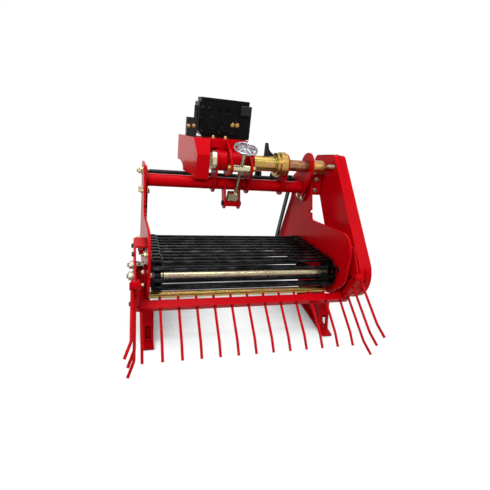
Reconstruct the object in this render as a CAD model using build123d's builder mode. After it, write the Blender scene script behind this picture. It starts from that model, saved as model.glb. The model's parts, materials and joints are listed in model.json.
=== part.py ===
from build123d import *
import os
from math import atan2, cos, degrees, hypot, pi, radians, sin, tan

# Rod-conveyor potato digger for a two-wheel tractor. Millimetres.
# +X is the machine's right, +Y is forward, +Z is up.
# The origin is the middle of the gearbox's front flange, where the tractor's drive comes in.
#
# Most shapes are drawn on "side" planes that lean with the conveyor: their first number (u) runs
# forward along the conveyor bed and their second (w) stands square to it, from the point where the
# comb's tines leave their bar.
# The hitch head leans further, so it has "head" planes: h forward and v up from the upper axle.

os.makedirs("parts", exist_ok=True)

# ---- how the machine stands -------------------------------------------------------------------
slope = 8.0                 # the conveyor bed drops this many degrees towards the front
head_lean = -2.0            # the hitch head leans this much further forward than the bed
tine_root_height = 152.5    # that point above the floor
weld_gap = 0.3              # gap where one piece is bolted or slid beside another
run_gap = 0.06              # radial play of a shaft in its bore

# ---- conveyor ---------------------------------------------------------------------------------
rear_shaft_u = 58.0
rear_shaft_w = 94.0
shaft_distance = 288.0      # rear shaft to front shaft
chain_radius = 46.0         # from a shaft's axis to the rods' axes where the chain wraps round
rod_count = 27
rod_diameter = 10.0
rod_sides = 12              # a rod is drawn with this many flats, to keep its mesh light
rod_phase = 0.875           # the first rod, in pitches round the loop
chain_side_gap = 27.0       # side plate's inner face to the middle of its chain
chain_width = 35.0
chain_depth = 10.0
link_window = 23.0          # width of the opening in a link
link_bar = 13.0             # left between two openings, along the chain
lug_length = 17.0
lug_height = 4.0
shaft_diameter = 20.0
sprocket_teeth = 6
sprocket_tooth = 17.0
sprocket_root = 8.0         # from the chain's inside to the sprocket's root
sprocket_width = 20.0
roller_width = 24.0

# ---- frame ------------------------------------------------------------------------------------
plate_inner = 336.0         # centre plane to a side plate's inner face, half the working width
plate_thickness = 8.0
beam_u = 366.0
beam_w = 358.0
beam_diameter = 48.0
beam_wall = 4.0
beam_flange_radius = 34.0   # flange that bolts each beam end to its side plate
beam_flange_thickness = 8.0
beam_flange_corner = 15.0   # round each of its bolts
beam_bolt_offsets = ((43.0, 32.0), (8.0, -46.0), (52.0, -42.0))  # along u and w from the beam's axis
beam_bolt_diameter = 10.0
axle_back = 31.0            # upper drive axle's axis behind the beam's
axle_rise = 92.0            # and above it
axle_diameter = 44.0
tie_u = 505.0               # black tie bar ahead of the beam
tie_w = 371.0
tie_diameter = 17.0
strap_thickness = 8.0
strap_gap = 10.0            # from a strap to its side plate
strap_width = 25.0
cross_tube_u = 78.0
cross_tube_w = 14.0
cross_tube_diameter = 24.0

# ---- comb -------------------------------------------------------------------------------------
tine_pitch = 60.0
tine_count = 13
tine_diameter = 9.0
tine_drop = 38.5            # degrees below the bed where a tine leaves its bar
tine_tip_drop = 50.0        # the same near its tip
tine_near = 122.0           # straight run from the bar to the bend
tine_far = 48.0             # run from the bend to the tip
tine_stub = 16.0            # how far a tine stands out of the bar's far side
side_tine_drop = 42.5
side_tine_tip_drop = 55.0
side_tine_near = 171.0
side_tine_far = 46.0
side_tine_splay = {"left": 3.5, "right": 12.0}      # sideways run to the bend, as bent by hand
side_tip_splay = {"left": 18.5, "right": 20.0}      # further sideways run to the tip
bar_side = 27.0
arm_side = 25.0
hinge_gap = 36.0            # side plate's outer face to the middle of the comb's hinge
hinge_u = -48.0
hinge_w = 113.0
hinge_pin_diameter = 12.0
hinge_boss_diameter = 28.0
fork_slot = 8.4
fork_cheek = 7.0
eye_thickness = 6.0

# ---- chain guard ------------------------------------------------------------------------------
guard_gap = 17.6            # middle of the comb's hinge to the guard's back
guard_depth = 50.0
guard_sheet = 3.0
guard_foot_radius = 95.0
guard_corner = 30.0
guard_head_corners = ((-37.0, 28.0), (82.0, 16.0))  # their centres, along u and w from the axle

# ---- upper axle ---------------------------------------------------------------------------------
axle_left = -97.0
axle_brackets = (
    # x, radius round the axle
    (-76.0, 42.0),
    (64.0, 42.0),
    (211.0, 44.0),
    (plate_inner - 24.0, 56.0),
)
bracket_width = 8.0
bracket_foot_radius = 36.0  # round the beam
axle_end = 10.0             # the axle stands out of the last bracket this far
sleeve_diameter = 60.0
collar_left = 165.0
collar_steps = (
    # length, radius
    (7.0, 46.0),
    (9.0, 38.0),
)
collar_radius = 49.0
lever_width = 38.0
lever_rise = 80.0           # its tip above the axle's axis
lever_forward = 20.0        # its rear face, ahead of the axle's axis
lever_thickness = 12.0
disc_radius = 38.0
end_collar_radius = 28.0
end_collar_gap = 21.0       # from the collar to the guard
end_nut_radius = 16.0
end_nut_length = 12.0

# ---- hitch head, in head coordinates -----------------------------------------------------------
head_top = 78.0
head_box_left_rear = -166.0
head_box_left_front = -210.0
head_box_right = -103.0
head_box_rear = 8.0         # its rear face at the top
head_box_ridge = -19.0      # its rear face at the crease, the rearmost line
head_box_ridge_rise = 20.0
head_box_front = 102.0
head_box_front_rise = 11.0  # its front edge bends here
head_box_rear_bottom = 3.0  # where its lower edge comes up over the beam
head_lip = -12.0            # its rear wall hangs behind the beam, down to here
head_lip_width = 7.0
head_lip_drop = 11.0        # below the edge over the beam
head_box_clearance = 6.0    # from the beam to the box's bottom edge
head_notch_radius = 33.0    # cut out of its lower front corner
head_sheet = 5.0
base_thickness = 8.0
base_apron = 54.0           # depth of the apron that hangs from the base's rear edge
base_shallow_apron = 34.0   # the same over the left bracket
base_step = -62.0           # where the apron changes depth
base_right = 53.0
ear_run = 84.0              # the ears meet the base along this length
base_rear = 26.0
base_rib = 52.0             # rear face of the rib ahead of the apron
base_rib_depth = 58.0
hub_radius = 38.0           # tube round the upper axle that carries the ears
hub_gap = 2.0               # from the left bracket to the tube
gearbox_left = -140.0
gearbox_right = 72.0
gearbox_rear = 72.0
gearbox_front = 190.0
gearbox_height = 128.0
gearbox_corner = 14.0
gearbox_chamfer = 20.0      # along its lower left edge
cap_height = 17.0
cap_inset = 9.0
input_rise = 70.0           # input shaft's axis above the head's top
flange_thickness = 12.0
flange_diameter = 150.0
flange_bolt_circle = 125.0
flange_bolts = 6
flange_hole_diameter = 10.0
input_diameter = 25.0
input_stickout = 50.0       # length of its full diameter, outside the flange
input_neck_diameter = 20.0
input_neck = 4.0            # from the flange's face to the full diameter
input_depth = 40.0

# ---- depth screw ------------------------------------------------------------------------------
screw_x = 7.0
screw_diameter = 16.0
screw_play = 0.8
trunnion_h = -66.7
trunnion_v = -15.7
trunnion_length = 66.0
trunnion_diameter = 28.0
trunnion_eye = 22.0         # radius of each ear round the trunnion
journal_diameter = 14.0
journal_reach = 3.0         # the journals stand out of the ears this far
pivot_back = 27.0           # the screw's lower pivot, behind the beam's axis
pivot_drop = 74.0           # and below it
pivot_x = -1.0              # middle of the clevis
pivot_length = 50.0
foot_diameter = 26.0
foot_rise = 52.0            # top of the screw's foot block above its pivot
foot_depth = 22.0
clevis_thickness = 7.0
clevis_side_gap = 1.0
clevis_eye = 22.0
clevis_strip_height = 18.0
clevis_strip_thickness = 5.0
clevis_strip_angle = 12.0
ear_thickness = 8.0
ear_gap = 1.5
ear_radius = 56.0           # ears round the upper axle
wheel_diameter = 92.0
wheel_rise = 80.0           # handwheel's middle above the upper trunnion, along the screw
wheel_thickness = 9.0
wheel_rim = 8.0
wheel_window = 9.0          # the openings inside the rim, measured outwards
wheel_spokes = 5
wheel_spoke_width = 22.0    # left between two openings

# ---- post on the box -----------------------------------------------------------------------------
post_left = -188.0
post_width = 38.0
post_rear = 50.0
post_depth = 28.0
post_height = 68.0

# ---- worked out from the sizes above -----------------------------------------------------------
lean = radians(slope)
tip = radians(head_lean)
forward = (0, cos(lean), -sin(lean))
upward = (0, sin(lean), cos(lean))
head_forward = (0, cos(lean + tip), -sin(lean + tip))
front_shaft_u = rear_shaft_u + shaft_distance
chain_half_gauge = plate_inner - chain_side_gap
strap_x = plate_inner - strap_gap - strap_thickness
axle_u = beam_u - axle_back
axle_w = beam_w + axle_rise
pivot_u = beam_u - pivot_back
pivot_w = beam_w - pivot_drop
axle_right = axle_brackets[-1][0] + bracket_width / 2 + axle_end
plate_outer = plate_inner + plate_thickness
hinge_x = plate_outer + hinge_gap
guard_inner = hinge_x + guard_gap
end_collar_length = guard_inner - axle_right - end_collar_gap


def head_to_side(h, v):
    """Head coordinates to side-plane coordinates."""
    return axle_u + h * cos(tip) + v * sin(tip), axle_w - h * sin(tip) + v * cos(tip)


def rise(u, w):
    """Side-plane coordinates to level ones: forward from the tines' root, and height over the floor."""
    return u * cos(lean) + w * sin(lean), tine_root_height - u * sin(lean) + w * cos(lean)


flange_h = gearbox_front + flange_thickness
input_v = head_top + input_rise
flange_u, flange_w = head_to_side(flange_h, input_v)
bar_y = -rise(flange_u, flange_w)[0]
floor_z = -rise(flange_u, flange_w)[1]
bar_z = floor_z + tine_root_height


def place(u, w, x=0.0):
    """A side-plane point as a point of the machine."""
    y, z = rise(u, w)
    return Vector(x, bar_y + y, floor_z + z)


def side(x):
    """Sketch plane along a side of the machine at x: u forward, w up."""
    return Plane(origin=(x, bar_y, bar_z), x_dir=forward, z_dir=(1, 0, 0))


def head(x):
    """Sketch plane of the hitch head at x: h forward, v up, from the upper axle."""
    return Plane(origin=place(axle_u, axle_w, x), x_dir=head_forward, z_dir=(1, 0, 0))


def across(u):
    """Sketch plane square to the bed at u: x to the right, w up, facing the rear."""
    return Plane(origin=place(u, 0), x_dir=(1, 0, 0), z_dir=(0, -cos(lean), sin(lean)))


def level(x):
    """Level sketch plane at x: distance forward from the tines' root, and height over the floor."""
    return Plane(origin=(x, bar_y, floor_z), x_dir=(0, 1, 0), z_dir=(1, 0, 0))


def finish(piece, name):
    """Label a finished piece and write it."""
    piece.part.label = name
    export_step(piece.part, f"parts/{name}.step")
    print(f"{name}: {piece.part.volume / 1000:.1f} cm3, {len(piece.part.solids())} solid(s)")


sides = (("left", -1), ("right", 1))

# ---- side plates ------------------------------------------------------------------------------
side_plate_outline = (
    # u, w, corner radius
    (-44, 262, 70),
    (-40, 85, 60),
    (52, 6, 40),
    (560, 6, 30),
    (600, -28, 20),
    (652, -28, 12),
    (594, 90, 60),
    (tie_u + 4, tie_w - 74, 60),
    (tie_u + 25, tie_w + 9, 20),
    (beam_u + 114, beam_w + 57, 20),
    (beam_u - 24, beam_w + 57, 16),
    (beam_u - 85, beam_w - 119, 16),
)
relief_radius = 9.5         # round cut in the side plate's inner corner
relief_place = (beam_u - 66, beam_w - 90)
beam_bolts = [(beam_u + du, beam_w + dw) for du, dw in beam_bolt_offsets]

for name, hand in sides:
    with BuildPart() as side_plate:
        with BuildSketch(side(hand * plate_inner)):
            with BuildLine():
                FilletPolyline(
                    *[(u, w) for u, w, radius in side_plate_outline],
                    radius=[radius for u, w, radius in side_plate_outline],
                    close=True,
                )
            make_face()
            with Locations((rear_shaft_u, rear_shaft_w), (front_shaft_u, rear_shaft_w)):
                Circle(shaft_diameter / 2 + run_gap, mode=Mode.SUBTRACT)
            with Locations(relief_place):
                Circle(relief_radius, mode=Mode.SUBTRACT)
            with Locations(*beam_bolts):
                Circle(beam_bolt_diameter / 2, mode=Mode.SUBTRACT)
        extrude(amount=hand * plate_thickness)
    finish(side_plate, f"{name}_side_plate")

# ---- cross beam, tie bar, straps and lower tube --------------------------------------------------
with BuildPart() as beam:
    with BuildSketch(side(-plate_inner)):
        with Locations((beam_u, beam_w)):
            Circle(beam_diameter / 2)
            Circle(beam_diameter / 2 - beam_wall, mode=Mode.SUBTRACT)
    extrude(amount=2 * plate_inner)
    for name, hand in sides:
        with BuildSketch(side(hand * plate_inner)):
            with Locations((beam_u, beam_w)):
                Circle(beam_flange_radius)
            with Locations(*beam_bolts):
                Circle(beam_flange_corner)
            make_hull()
            with Locations((beam_u, beam_w)):
                Circle(beam_diameter / 2, mode=Mode.SUBTRACT)
            with Locations(*beam_bolts):
                Circle(beam_bolt_diameter / 2, mode=Mode.SUBTRACT)
        extrude(amount=-hand * beam_flange_thickness)
finish(beam, "beam")

with BuildPart() as tie_bar:
    with BuildSketch(side(-plate_inner)):
        with Locations((tie_u, tie_w)):
            Circle(tie_diameter / 2)
    extrude(amount=2 * plate_inner)
finish(tie_bar, "tie_bar")

strap_foot_u = 595.0
strap_foot_w = 54.0
strap_boss_radius = 12.0
strap_run = hypot(strap_foot_u - tie_u, strap_foot_w - tie_w)
strap_angle = degrees(atan2(strap_foot_w - tie_w, strap_foot_u - tie_u))
for name, hand in sides:
    with BuildPart() as strap:
        with BuildSketch(side(hand * strap_x)):
            with Locations(Location(((tie_u + strap_foot_u) / 2, (tie_w + strap_foot_w) / 2), strap_angle)):
                SlotCenterToCenter(strap_run, strap_width)
            with Locations((tie_u, tie_w)):
                Circle(tie_diameter / 2, mode=Mode.SUBTRACT)
        extrude(amount=hand * strap_thickness)
        with BuildSketch(side(hand * strap_x)):
            with Locations((strap_foot_u, strap_foot_w)):
                Circle(strap_boss_radius)
        extrude(amount=hand * (plate_inner - strap_x))
    finish(strap, f"{name}_strap")

with BuildPart() as cross_tube:
    with BuildSketch(side(-plate_inner)):
        with Locations((cross_tube_u, cross_tube_w)):
            Circle(cross_tube_diameter / 2)
    extrude(amount=2 * plate_inner)
finish(cross_tube, "cross_tube")

# ---- rod conveyor: two side chains with lugs, and the rods between them -----------------------
loop_length = 2 * shaft_distance + 2 * pi * chain_radius
rod_pitch = loop_length / rod_count


def chain_point(run):
    """Where the chain is after this run from the top of the rear shaft, and which way it lies."""
    arc = pi * chain_radius
    if run < shaft_distance:
        return rear_shaft_u + run, rear_shaft_w + chain_radius, 0.0
    if run < shaft_distance + arc:
        turn = (run - shaft_distance) / chain_radius
        return (front_shaft_u + chain_radius * sin(turn), rear_shaft_w + chain_radius * cos(turn),
                -degrees(turn))
    if run < 2 * shaft_distance + arc:
        back = run - shaft_distance - arc
        return front_shaft_u - back, rear_shaft_w - chain_radius, 180.0
    turn = (run - 2 * shaft_distance - arc) / chain_radius
    return (rear_shaft_u - chain_radius * sin(turn), rear_shaft_w - chain_radius * cos(turn),
            180.0 - degrees(turn))


rod_places = [chain_point((index + rod_phase) * rod_pitch) for index in range(rod_count)]
window_places = [chain_point((index + rod_phase - 0.5) * rod_pitch) for index in range(rod_count)]
chain_centre_u = (rear_shaft_u + front_shaft_u) / 2
chain_inside = chain_radius - chain_depth / 2

with BuildPart() as rod_conveyor:
    for name, hand in sides:
        chain_left = hand * chain_half_gauge - chain_width / 2
        with BuildSketch(side(chain_left)):
            with Locations((chain_centre_u, rear_shaft_w)):
                SlotCenterToCenter(shaft_distance, 2 * chain_radius + chain_depth)
            for u, w, angle in rod_places:
                with Locations(Location((u, w), angle)):
                    with Locations((0, (chain_depth + lug_height) / 2 - 2)):
                        Rectangle(lug_length, lug_height + 4)
            with Locations((chain_centre_u, rear_shaft_w)):
                SlotCenterToCenter(shaft_distance, 2 * chain_inside, mode=Mode.SUBTRACT)
        extrude(amount=chain_width)
        with BuildSketch(side(chain_left + (chain_width - link_window) / 2)):
            for u, w, angle in window_places:
                with Locations(Location((u, w), angle)):
                    Rectangle(rod_pitch - link_bar, 3 * chain_depth)
        extrude(amount=link_window, mode=Mode.SUBTRACT)
    with BuildSketch(side(-chain_half_gauge + link_window / 2)):
        for u, w, angle in rod_places:
            with Locations((u, w)):
                RegularPolygon(rod_diameter / 2, rod_sides)
    extrude(amount=2 * chain_half_gauge - link_window)
finish(rod_conveyor, "rod_conveyor")

# ---- shafts, sprockets and rollers --------------------------------------------------------------
with BuildPart() as rear_shaft:
    with BuildSketch(side(-hinge_x - 14)):
        with Locations((rear_shaft_u, rear_shaft_w)):
            Circle(shaft_diameter / 2)
    extrude(amount=hinge_x + 14 + guard_inner)
finish(rear_shaft, "rear_shaft")

with BuildPart() as front_shaft:
    with BuildSketch(side(-plate_outer - 12)):
        with Locations((front_shaft_u, rear_shaft_w)):
            Circle(shaft_diameter / 2)
    extrude(amount=2 * (plate_outer + 12))
finish(front_shaft, "front_shaft")

with BuildPart() as rear_sprockets:
    for name, hand in sides:
        with BuildSketch(side(hand * chain_half_gauge - sprocket_width / 2)):
            with Locations((rear_shaft_u, rear_shaft_w)):
                Circle(chain_inside - sprocket_root)
                with PolarLocations(chain_inside - sprocket_root - 1, sprocket_teeth):
                    Rectangle(2 * sprocket_root + 1, sprocket_tooth)
                Circle(chain_inside - weld_gap, mode=Mode.INTERSECT)
                Circle(shaft_diameter / 2, mode=Mode.SUBTRACT)
        extrude(amount=sprocket_width)
finish(rear_sprockets, "rear_sprockets")

with BuildPart() as front_rollers:
    for name, hand in sides:
        with BuildSketch(side(hand * chain_half_gauge - roller_width / 2)):
            with Locations((front_shaft_u, rear_shaft_w)):
                Circle(chain_inside - weld_gap)
                Circle(shaft_diameter / 2, mode=Mode.SUBTRACT)
        extrude(amount=roller_width)
finish(front_rollers, "front_rollers")

# ---- bearings on the side plates -----------------------------------------------------------------
bearing_flange = 38.0
bearing_housing = 30.0
bearing_reach = {"left": hinge_x - eye_thickness / 2, "right": guard_inner}
for name, hand in sides:
    with BuildPart() as bearing:
        with BuildSketch(side(hand * plate_outer)):
            with Locations((rear_shaft_u, rear_shaft_w)):
                Circle(bearing_flange)
                Circle(shaft_diameter / 2 + run_gap, mode=Mode.SUBTRACT)
        extrude(amount=hand * 8)
        with BuildSketch(side(hand * plate_outer)):
            with Locations((rear_shaft_u, rear_shaft_w)):
                Circle(bearing_housing)
                Circle(shaft_diameter / 2 + run_gap, mode=Mode.SUBTRACT)
        extrude(amount=hand * (bearing_reach[name] - plate_outer))
    finish(bearing, f"{name}_bearing")

with BuildPart() as front_bearings:
    for name, hand in sides:
        with BuildSketch(side(hand * plate_outer)):
            with Locations((front_shaft_u, rear_shaft_w)):
                Circle(bearing_housing)
                Circle(shaft_diameter / 2 + run_gap, mode=Mode.SUBTRACT)
        extrude(amount=hand * 14)
finish(front_bearings, "front_bearings")

# ---- comb brackets: an outer plate with the hinge's eye, a flange over it and a stop under it ----
stop_u = 52.0
bracket_outline = (
    # u, w, corner radius
    (-50, 126, 10),
    (5, 208, 25),
    (118, 208, 20),
    (124, 30, 25),
    (stop_u, -12, 10),
    (stop_u, 70, 20),
    (-14, 107, 16),
    (-48, 100, 4),
)
stop_bottom = -12.0
stop_height = 66.0
stop_thickness = 6.0
stop_half = 13.0
fork_depth = 24.0           # the fork's slot is this deep round the hinge's axis
for name, hand in sides:
    outer_face = hand * (hinge_x - eye_thickness / 2)
    with BuildPart() as comb_bracket:
        with BuildSketch(side(outer_face)):
            with BuildLine():
                FilletPolyline(
                    *[(u, w) for u, w, radius in bracket_outline],
                    radius=[radius for u, w, radius in bracket_outline],
                    close=True,
                )
            make_face()
            with Locations((hinge_u, hinge_w)):
                Circle(hinge_boss_diameter / 2)
            with Locations((rear_shaft_u, rear_shaft_w)):
                Circle(shaft_diameter / 2 + 2 if name == "left" else bearing_housing + 1, mode=Mode.SUBTRACT)
            with Locations((hinge_u, hinge_w)):
                Circle(hinge_pin_diameter / 2 + run_gap, mode=Mode.SUBTRACT)
        extrude(amount=hand * eye_thickness)
        with BuildSketch(side(hand * plate_outer)):
            with Locations((65, 208 - stop_thickness / 2)):
                Rectangle(90, stop_thickness)
            with Locations((stop_u + stop_thickness / 2, stop_bottom + stop_height / 2)):
                Rectangle(stop_thickness, stop_height)
        extrude(amount=hand * (hinge_x - plate_outer))
        with BuildSketch(side(outer_face)):
            with Locations((stop_u + stop_thickness / 2, stop_bottom + stop_height / 2)):
                Rectangle(stop_thickness, stop_height)
        extrude(amount=hand * stop_half)
    finish(comb_bracket, f"{name}_comb_bracket")

# ---- comb: square bar, two arms with hinge forks, straight and side tines ------------------------
bar_u = bar_side / 2 * cos(radians(tine_drop))
bar_w = bar_side / 2 * sin(radians(tine_drop))
arm_run = hypot(hinge_u - bar_u, hinge_w - bar_w)
arm_angle = degrees(atan2(hinge_w - bar_w, hinge_u - bar_u))
drops = (radians(tine_drop), radians(tine_tip_drop))
side_drops = (radians(side_tine_drop), radians(side_tine_tip_drop))
side_tine_seats = (
    # share of the arm, outwards from the arm's middle, longer to the bend
    (0.227, 0.0, 12.0),
    (0.649, 0.0, 5.5),
    (1.0, fork_slot / 2 + tine_diameter / 2 + 0.2, 0.0),
)


def add_tine(x, u, w, stub, run, lean_down, splay):
    """One round tine. Run, lean_down and splay each give the stretch to the bend, then that to the tip."""
    start = place(u + stub * cos(lean_down[0]), w + stub * sin(lean_down[0]), x)
    bend_u = u - run[0] * cos(lean_down[0])
    bend_w = w - run[0] * sin(lean_down[0])
    bend = place(bend_u, bend_w, x + splay[0])
    end_u = bend_u - run[1] * cos(lean_down[1])
    end_w = bend_w - run[1] * sin(lean_down[1])
    end = place(end_u, end_w, x + splay[0] + splay[1])
    with BuildLine() as route:
        FilletPolyline(start, bend, end, radius=30)
    with BuildSketch(Plane(origin=start, z_dir=bend - start)) as section:
        Circle(tine_diameter / 2)
    sweep(sections=section.sketch, path=route.line)


with BuildPart() as comb:
    with BuildSketch(side(-hinge_x - arm_side / 2)):
        with Locations((bar_u, bar_w)):
            Rectangle(bar_side, bar_side, rotation=tine_drop)
    extrude(amount=2 * hinge_x + arm_side)
    for name, hand in sides:
        with BuildSketch(side(hand * hinge_x - arm_side / 2)):
            with Locations(Location(((bar_u + hinge_u) / 2, (bar_w + hinge_w) / 2), arm_angle)):
                Rectangle(arm_run, arm_side)
        extrude(amount=arm_side)
        fork_width = fork_slot + 2 * fork_cheek
        with BuildSketch(side(hand * hinge_x - fork_width / 2)):
            with Locations((hinge_u, hinge_w)):
                Circle(hinge_boss_diameter / 2)
        extrude(amount=fork_width)
    for index in range(tine_count):
        tine_x = (index - (tine_count - 1) / 2) * tine_pitch
        add_tine(tine_x, 0, 0, bar_side + tine_stub, (tine_near, tine_far), drops, (0, 0))
    for name, hand in sides:
        for seat, outward, extra in side_tine_seats:
            seat_u = bar_u + seat * (hinge_u - bar_u)
            seat_w = bar_w + seat * (hinge_w - bar_w)
            add_tine(hand * (hinge_x + outward), seat_u, seat_w, 0,
                     (side_tine_near + extra, side_tine_far), side_drops,
                     (hand * side_tine_splay[name], hand * side_tip_splay[name]))
        with BuildSketch(side(hand * hinge_x - fork_slot / 2)):
            with Locations((hinge_u, hinge_w)):
                Circle(fork_depth)
        extrude(amount=fork_slot, mode=Mode.SUBTRACT)
        with BuildSketch(side(hand * hinge_x - arm_side)):
            with Locations((hinge_u, hinge_w)):
                Circle(hinge_pin_diameter / 2 + run_gap)
        extrude(amount=2 * arm_side, mode=Mode.SUBTRACT)
finish(comb, "comb")

pin_reach = fork_slot / 2 + fork_cheek
with BuildPart() as comb_pins:
    for name, hand in sides:
        with BuildSketch(side(hand * hinge_x - pin_reach - 1)):
            with Locations((hinge_u, hinge_w)):
                Circle(hinge_pin_diameter / 2)
        extrude(amount=2 * pin_reach + 2)
finish(comb_pins, "comb_pins")

# ---- skids: a gusset on the side plate, a leg strip and a runner with a tongue -----------------
skid_thickness = 8.0
skid_strip = 38.0
skid_centre = 335.0
skid_hole = (18.0, 46.0)    # slot in the leg strip, wide and tall
skid_gusset_front = 330.0   # where the gusset leaves the side plate's lower edge
skid_hole_height = 36.5     # its middle above the floor
tongue_y = rise(4, -150)[0]
leg_foot_y = rise(44, -146)[0]
leg_top_y, leg_top_z = rise(66, -20)
leg_lean = atan2(leg_top_y - leg_foot_y, leg_top_z)
runner_front_y = rise(255, -112)[0]
leg_head = rise(96, 0)
gusset_front = rise(skid_gusset_front, 0)
gusset_top = rise(90, 40)
for name, hand in sides:
    with BuildPart() as skid:
        with BuildSketch(level(hand * (plate_inner - weld_gap))):
            with BuildLine():
                Polyline(
                    (leg_foot_y, 0),
                    (runner_front_y, 0),
                    gusset_front,
                    rise(skid_gusset_front - 10, 34),
                    gusset_top,
                    leg_head,
                    close=True,
                )
            make_face()
        extrude(amount=-hand * skid_thickness)
        with BuildSketch(level(hand * skid_centre - skid_strip / 2)):
            with BuildLine():
                FilletPolyline(
                    (tongue_y, 0),
                    (runner_front_y, 0),
                    (runner_front_y + 24, 26),
                    (runner_front_y + 16, 30),
                    (runner_front_y - 4, 8),
                    (leg_foot_y + 6, 8),
                    (leg_top_y + 6, leg_top_z),
                    (leg_top_y - 2, leg_top_z),
                    (leg_foot_y - 3, 8),
                    (tongue_y, 6),
                    radius=2,
                    close=True,
                )
            make_face()
        extrude(amount=skid_strip)
        with BuildSketch(level(hand * skid_centre - skid_hole[0] / 2)):
            hole_y = leg_foot_y + skid_hole_height * tan(leg_lean)
            with Locations(Location((hole_y - 2, skid_hole_height), -degrees(leg_lean))):
                Rectangle(12, skid_hole[1])
        extrude(amount=skid_hole[0], mode=Mode.SUBTRACT)
    finish(skid, f"{name}_skid")

# ---- share: a carrier plate up to the conveyor, and the toothed blade bolted on it ----------------
share_angle = 33.0
share_thickness = 8.0
blade_thickness = 8.0
blade_length = 190.0
blade_teeth = 5
tooth_depth = 60.0
carrier_overlap = 100.0     # the blade lies on the carrier this far
share_rear_gap = 60.0       # front shaft to the share's rear edge
share_rear_rise = 24.0      # the same edge above the shafts
share_rear_y, share_rear_z = rise(front_shaft_u + share_rear_gap, rear_shaft_w + share_rear_rise)
share_tilt = radians(share_angle)
share_run = share_rear_z / sin(share_tilt)
share_half = plate_inner - weld_gap
share_tip_y = share_rear_y + share_rear_z / sin(share_tilt) * cos(share_tilt)
share_plane = Plane(
    origin=(0, bar_y + share_tip_y, floor_z),
    x_dir=(1, 0, 0),
    z_dir=(0, sin(share_tilt), cos(share_tilt)),
)
with BuildPart() as share_carrier:
    with BuildSketch(share_plane.offset(-share_thickness)):
        carrier_front = blade_length - carrier_overlap
        with Locations((0, -(share_run + carrier_front) / 2)):
            Rectangle(2 * share_half, share_run - carrier_front)
    extrude(amount=share_thickness)
finish(share_carrier, "share_carrier")

tooth_pitch = 2 * share_half / blade_teeth
blade_edge = [(-share_half, -blade_length)]
for index in range(blade_teeth):
    tooth_middle = -share_half + (index + 0.5) * tooth_pitch
    blade_edge += [
        (tooth_middle - tooth_pitch / 2, -tooth_depth),
        (tooth_middle - 8, 0),
        (tooth_middle + 8, 0),
    ]
blade_edge += [(share_half, -tooth_depth), (share_half, -blade_length)]
with BuildPart() as share_blade:
    with BuildSketch(share_plane):
        with BuildLine():
            Polyline(*blade_edge, close=True)
        make_face()
    extrude(amount=blade_thickness)
finish(share_blade, "share_blade")

# ---- chain guard: back plate and deep cover -------------------------------------------------------
def guard_outline(inset):
    """Round foot about the rear shaft, drawn up to two rounded corners above the upper axle."""
    with Locations((rear_shaft_u, rear_shaft_w)):
        Circle(guard_foot_radius - inset)
    with Locations(*[(axle_u + du, axle_w + dw) for du, dw in guard_head_corners]):
        Circle(guard_corner - inset)
    make_hull()


with BuildPart() as guard_back:
    with BuildSketch(side(guard_inner)):
        guard_outline(guard_sheet + weld_gap)
        with Locations((rear_shaft_u, rear_shaft_w), (axle_u, axle_w)):
            Circle(shaft_diameter / 2 + run_gap, mode=Mode.SUBTRACT)
    extrude(amount=guard_sheet)
finish(guard_back, "guard_back")

with BuildPart() as guard_cover:
    with BuildSketch(side(guard_inner)):
        guard_outline(0)
    extrude(amount=guard_depth)
    with BuildSketch(side(guard_inner)):
        guard_outline(guard_sheet)
    extrude(amount=guard_depth - guard_sheet, mode=Mode.SUBTRACT)
finish(guard_cover, "guard_cover")

bracket_sheet = 6.0
guard_bracket_u = beam_u - 12.0
with BuildPart() as guard_bracket:
    with BuildSketch(side(plate_outer)):
        with Locations((guard_bracket_u, beam_w + 17)):
            Rectangle(bracket_sheet, 88)
    extrude(amount=guard_inner - plate_outer)
finish(guard_bracket, "guard_bracket")

# ---- upper axle, its brackets and what is on it ---------------------------------------------------
with BuildPart() as upper_axle:
    with BuildSketch(side(axle_left)):
        with Locations((axle_u, axle_w)):
            Circle(axle_diameter / 2)
    extrude(amount=axle_right - axle_left)
finish(upper_axle, "upper_axle")

with BuildPart() as axle_clamps:
    for bracket_x, radius in axle_brackets:
        with BuildSketch(side(bracket_x - bracket_width / 2)):
            with Locations((axle_u, axle_w)):
                Circle(radius)
            with Locations((beam_u, beam_w)):
                Circle(bracket_foot_radius)
            make_hull()
            with Locations((axle_u, axle_w)):
                Circle(axle_diameter / 2, mode=Mode.SUBTRACT)
            with Locations((beam_u, beam_w)):
                Circle(beam_diameter / 2, mode=Mode.SUBTRACT)
        extrude(amount=bracket_width)
finish(axle_clamps, "axle_clamps")

sleeve_left = axle_brackets[1][0] + bracket_width / 2 + weld_gap
collar_right = axle_brackets[2][0] - bracket_width / 2 - weld_gap
with BuildPart() as clutch_sleeve:
    with BuildSketch(side(sleeve_left)):
        with Locations((axle_u, axle_w)):
            Circle(sleeve_diameter / 2)
            Circle(axle_diameter / 2, mode=Mode.SUBTRACT)
    extrude(amount=collar_left - sleeve_left)
finish(clutch_sleeve, "clutch_sleeve")

collar_starts = [collar_left]
for length, radius in collar_steps:
    collar_starts.append(collar_starts[-1] + length)
collar_ends = collar_starts[1:] + [collar_right]
collar_radii = [radius for length, radius in collar_steps] + [collar_radius]
with BuildPart() as clutch_collar:
    for start, end, radius in zip(collar_starts, collar_ends, collar_radii):
        with BuildSketch(side(start)):
            with Locations((axle_u, axle_w)):
                Circle(radius)
                Circle(axle_diameter / 2, mode=Mode.SUBTRACT)
        extrude(amount=end - start)
finish(clutch_collar, "clutch_collar")

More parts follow.
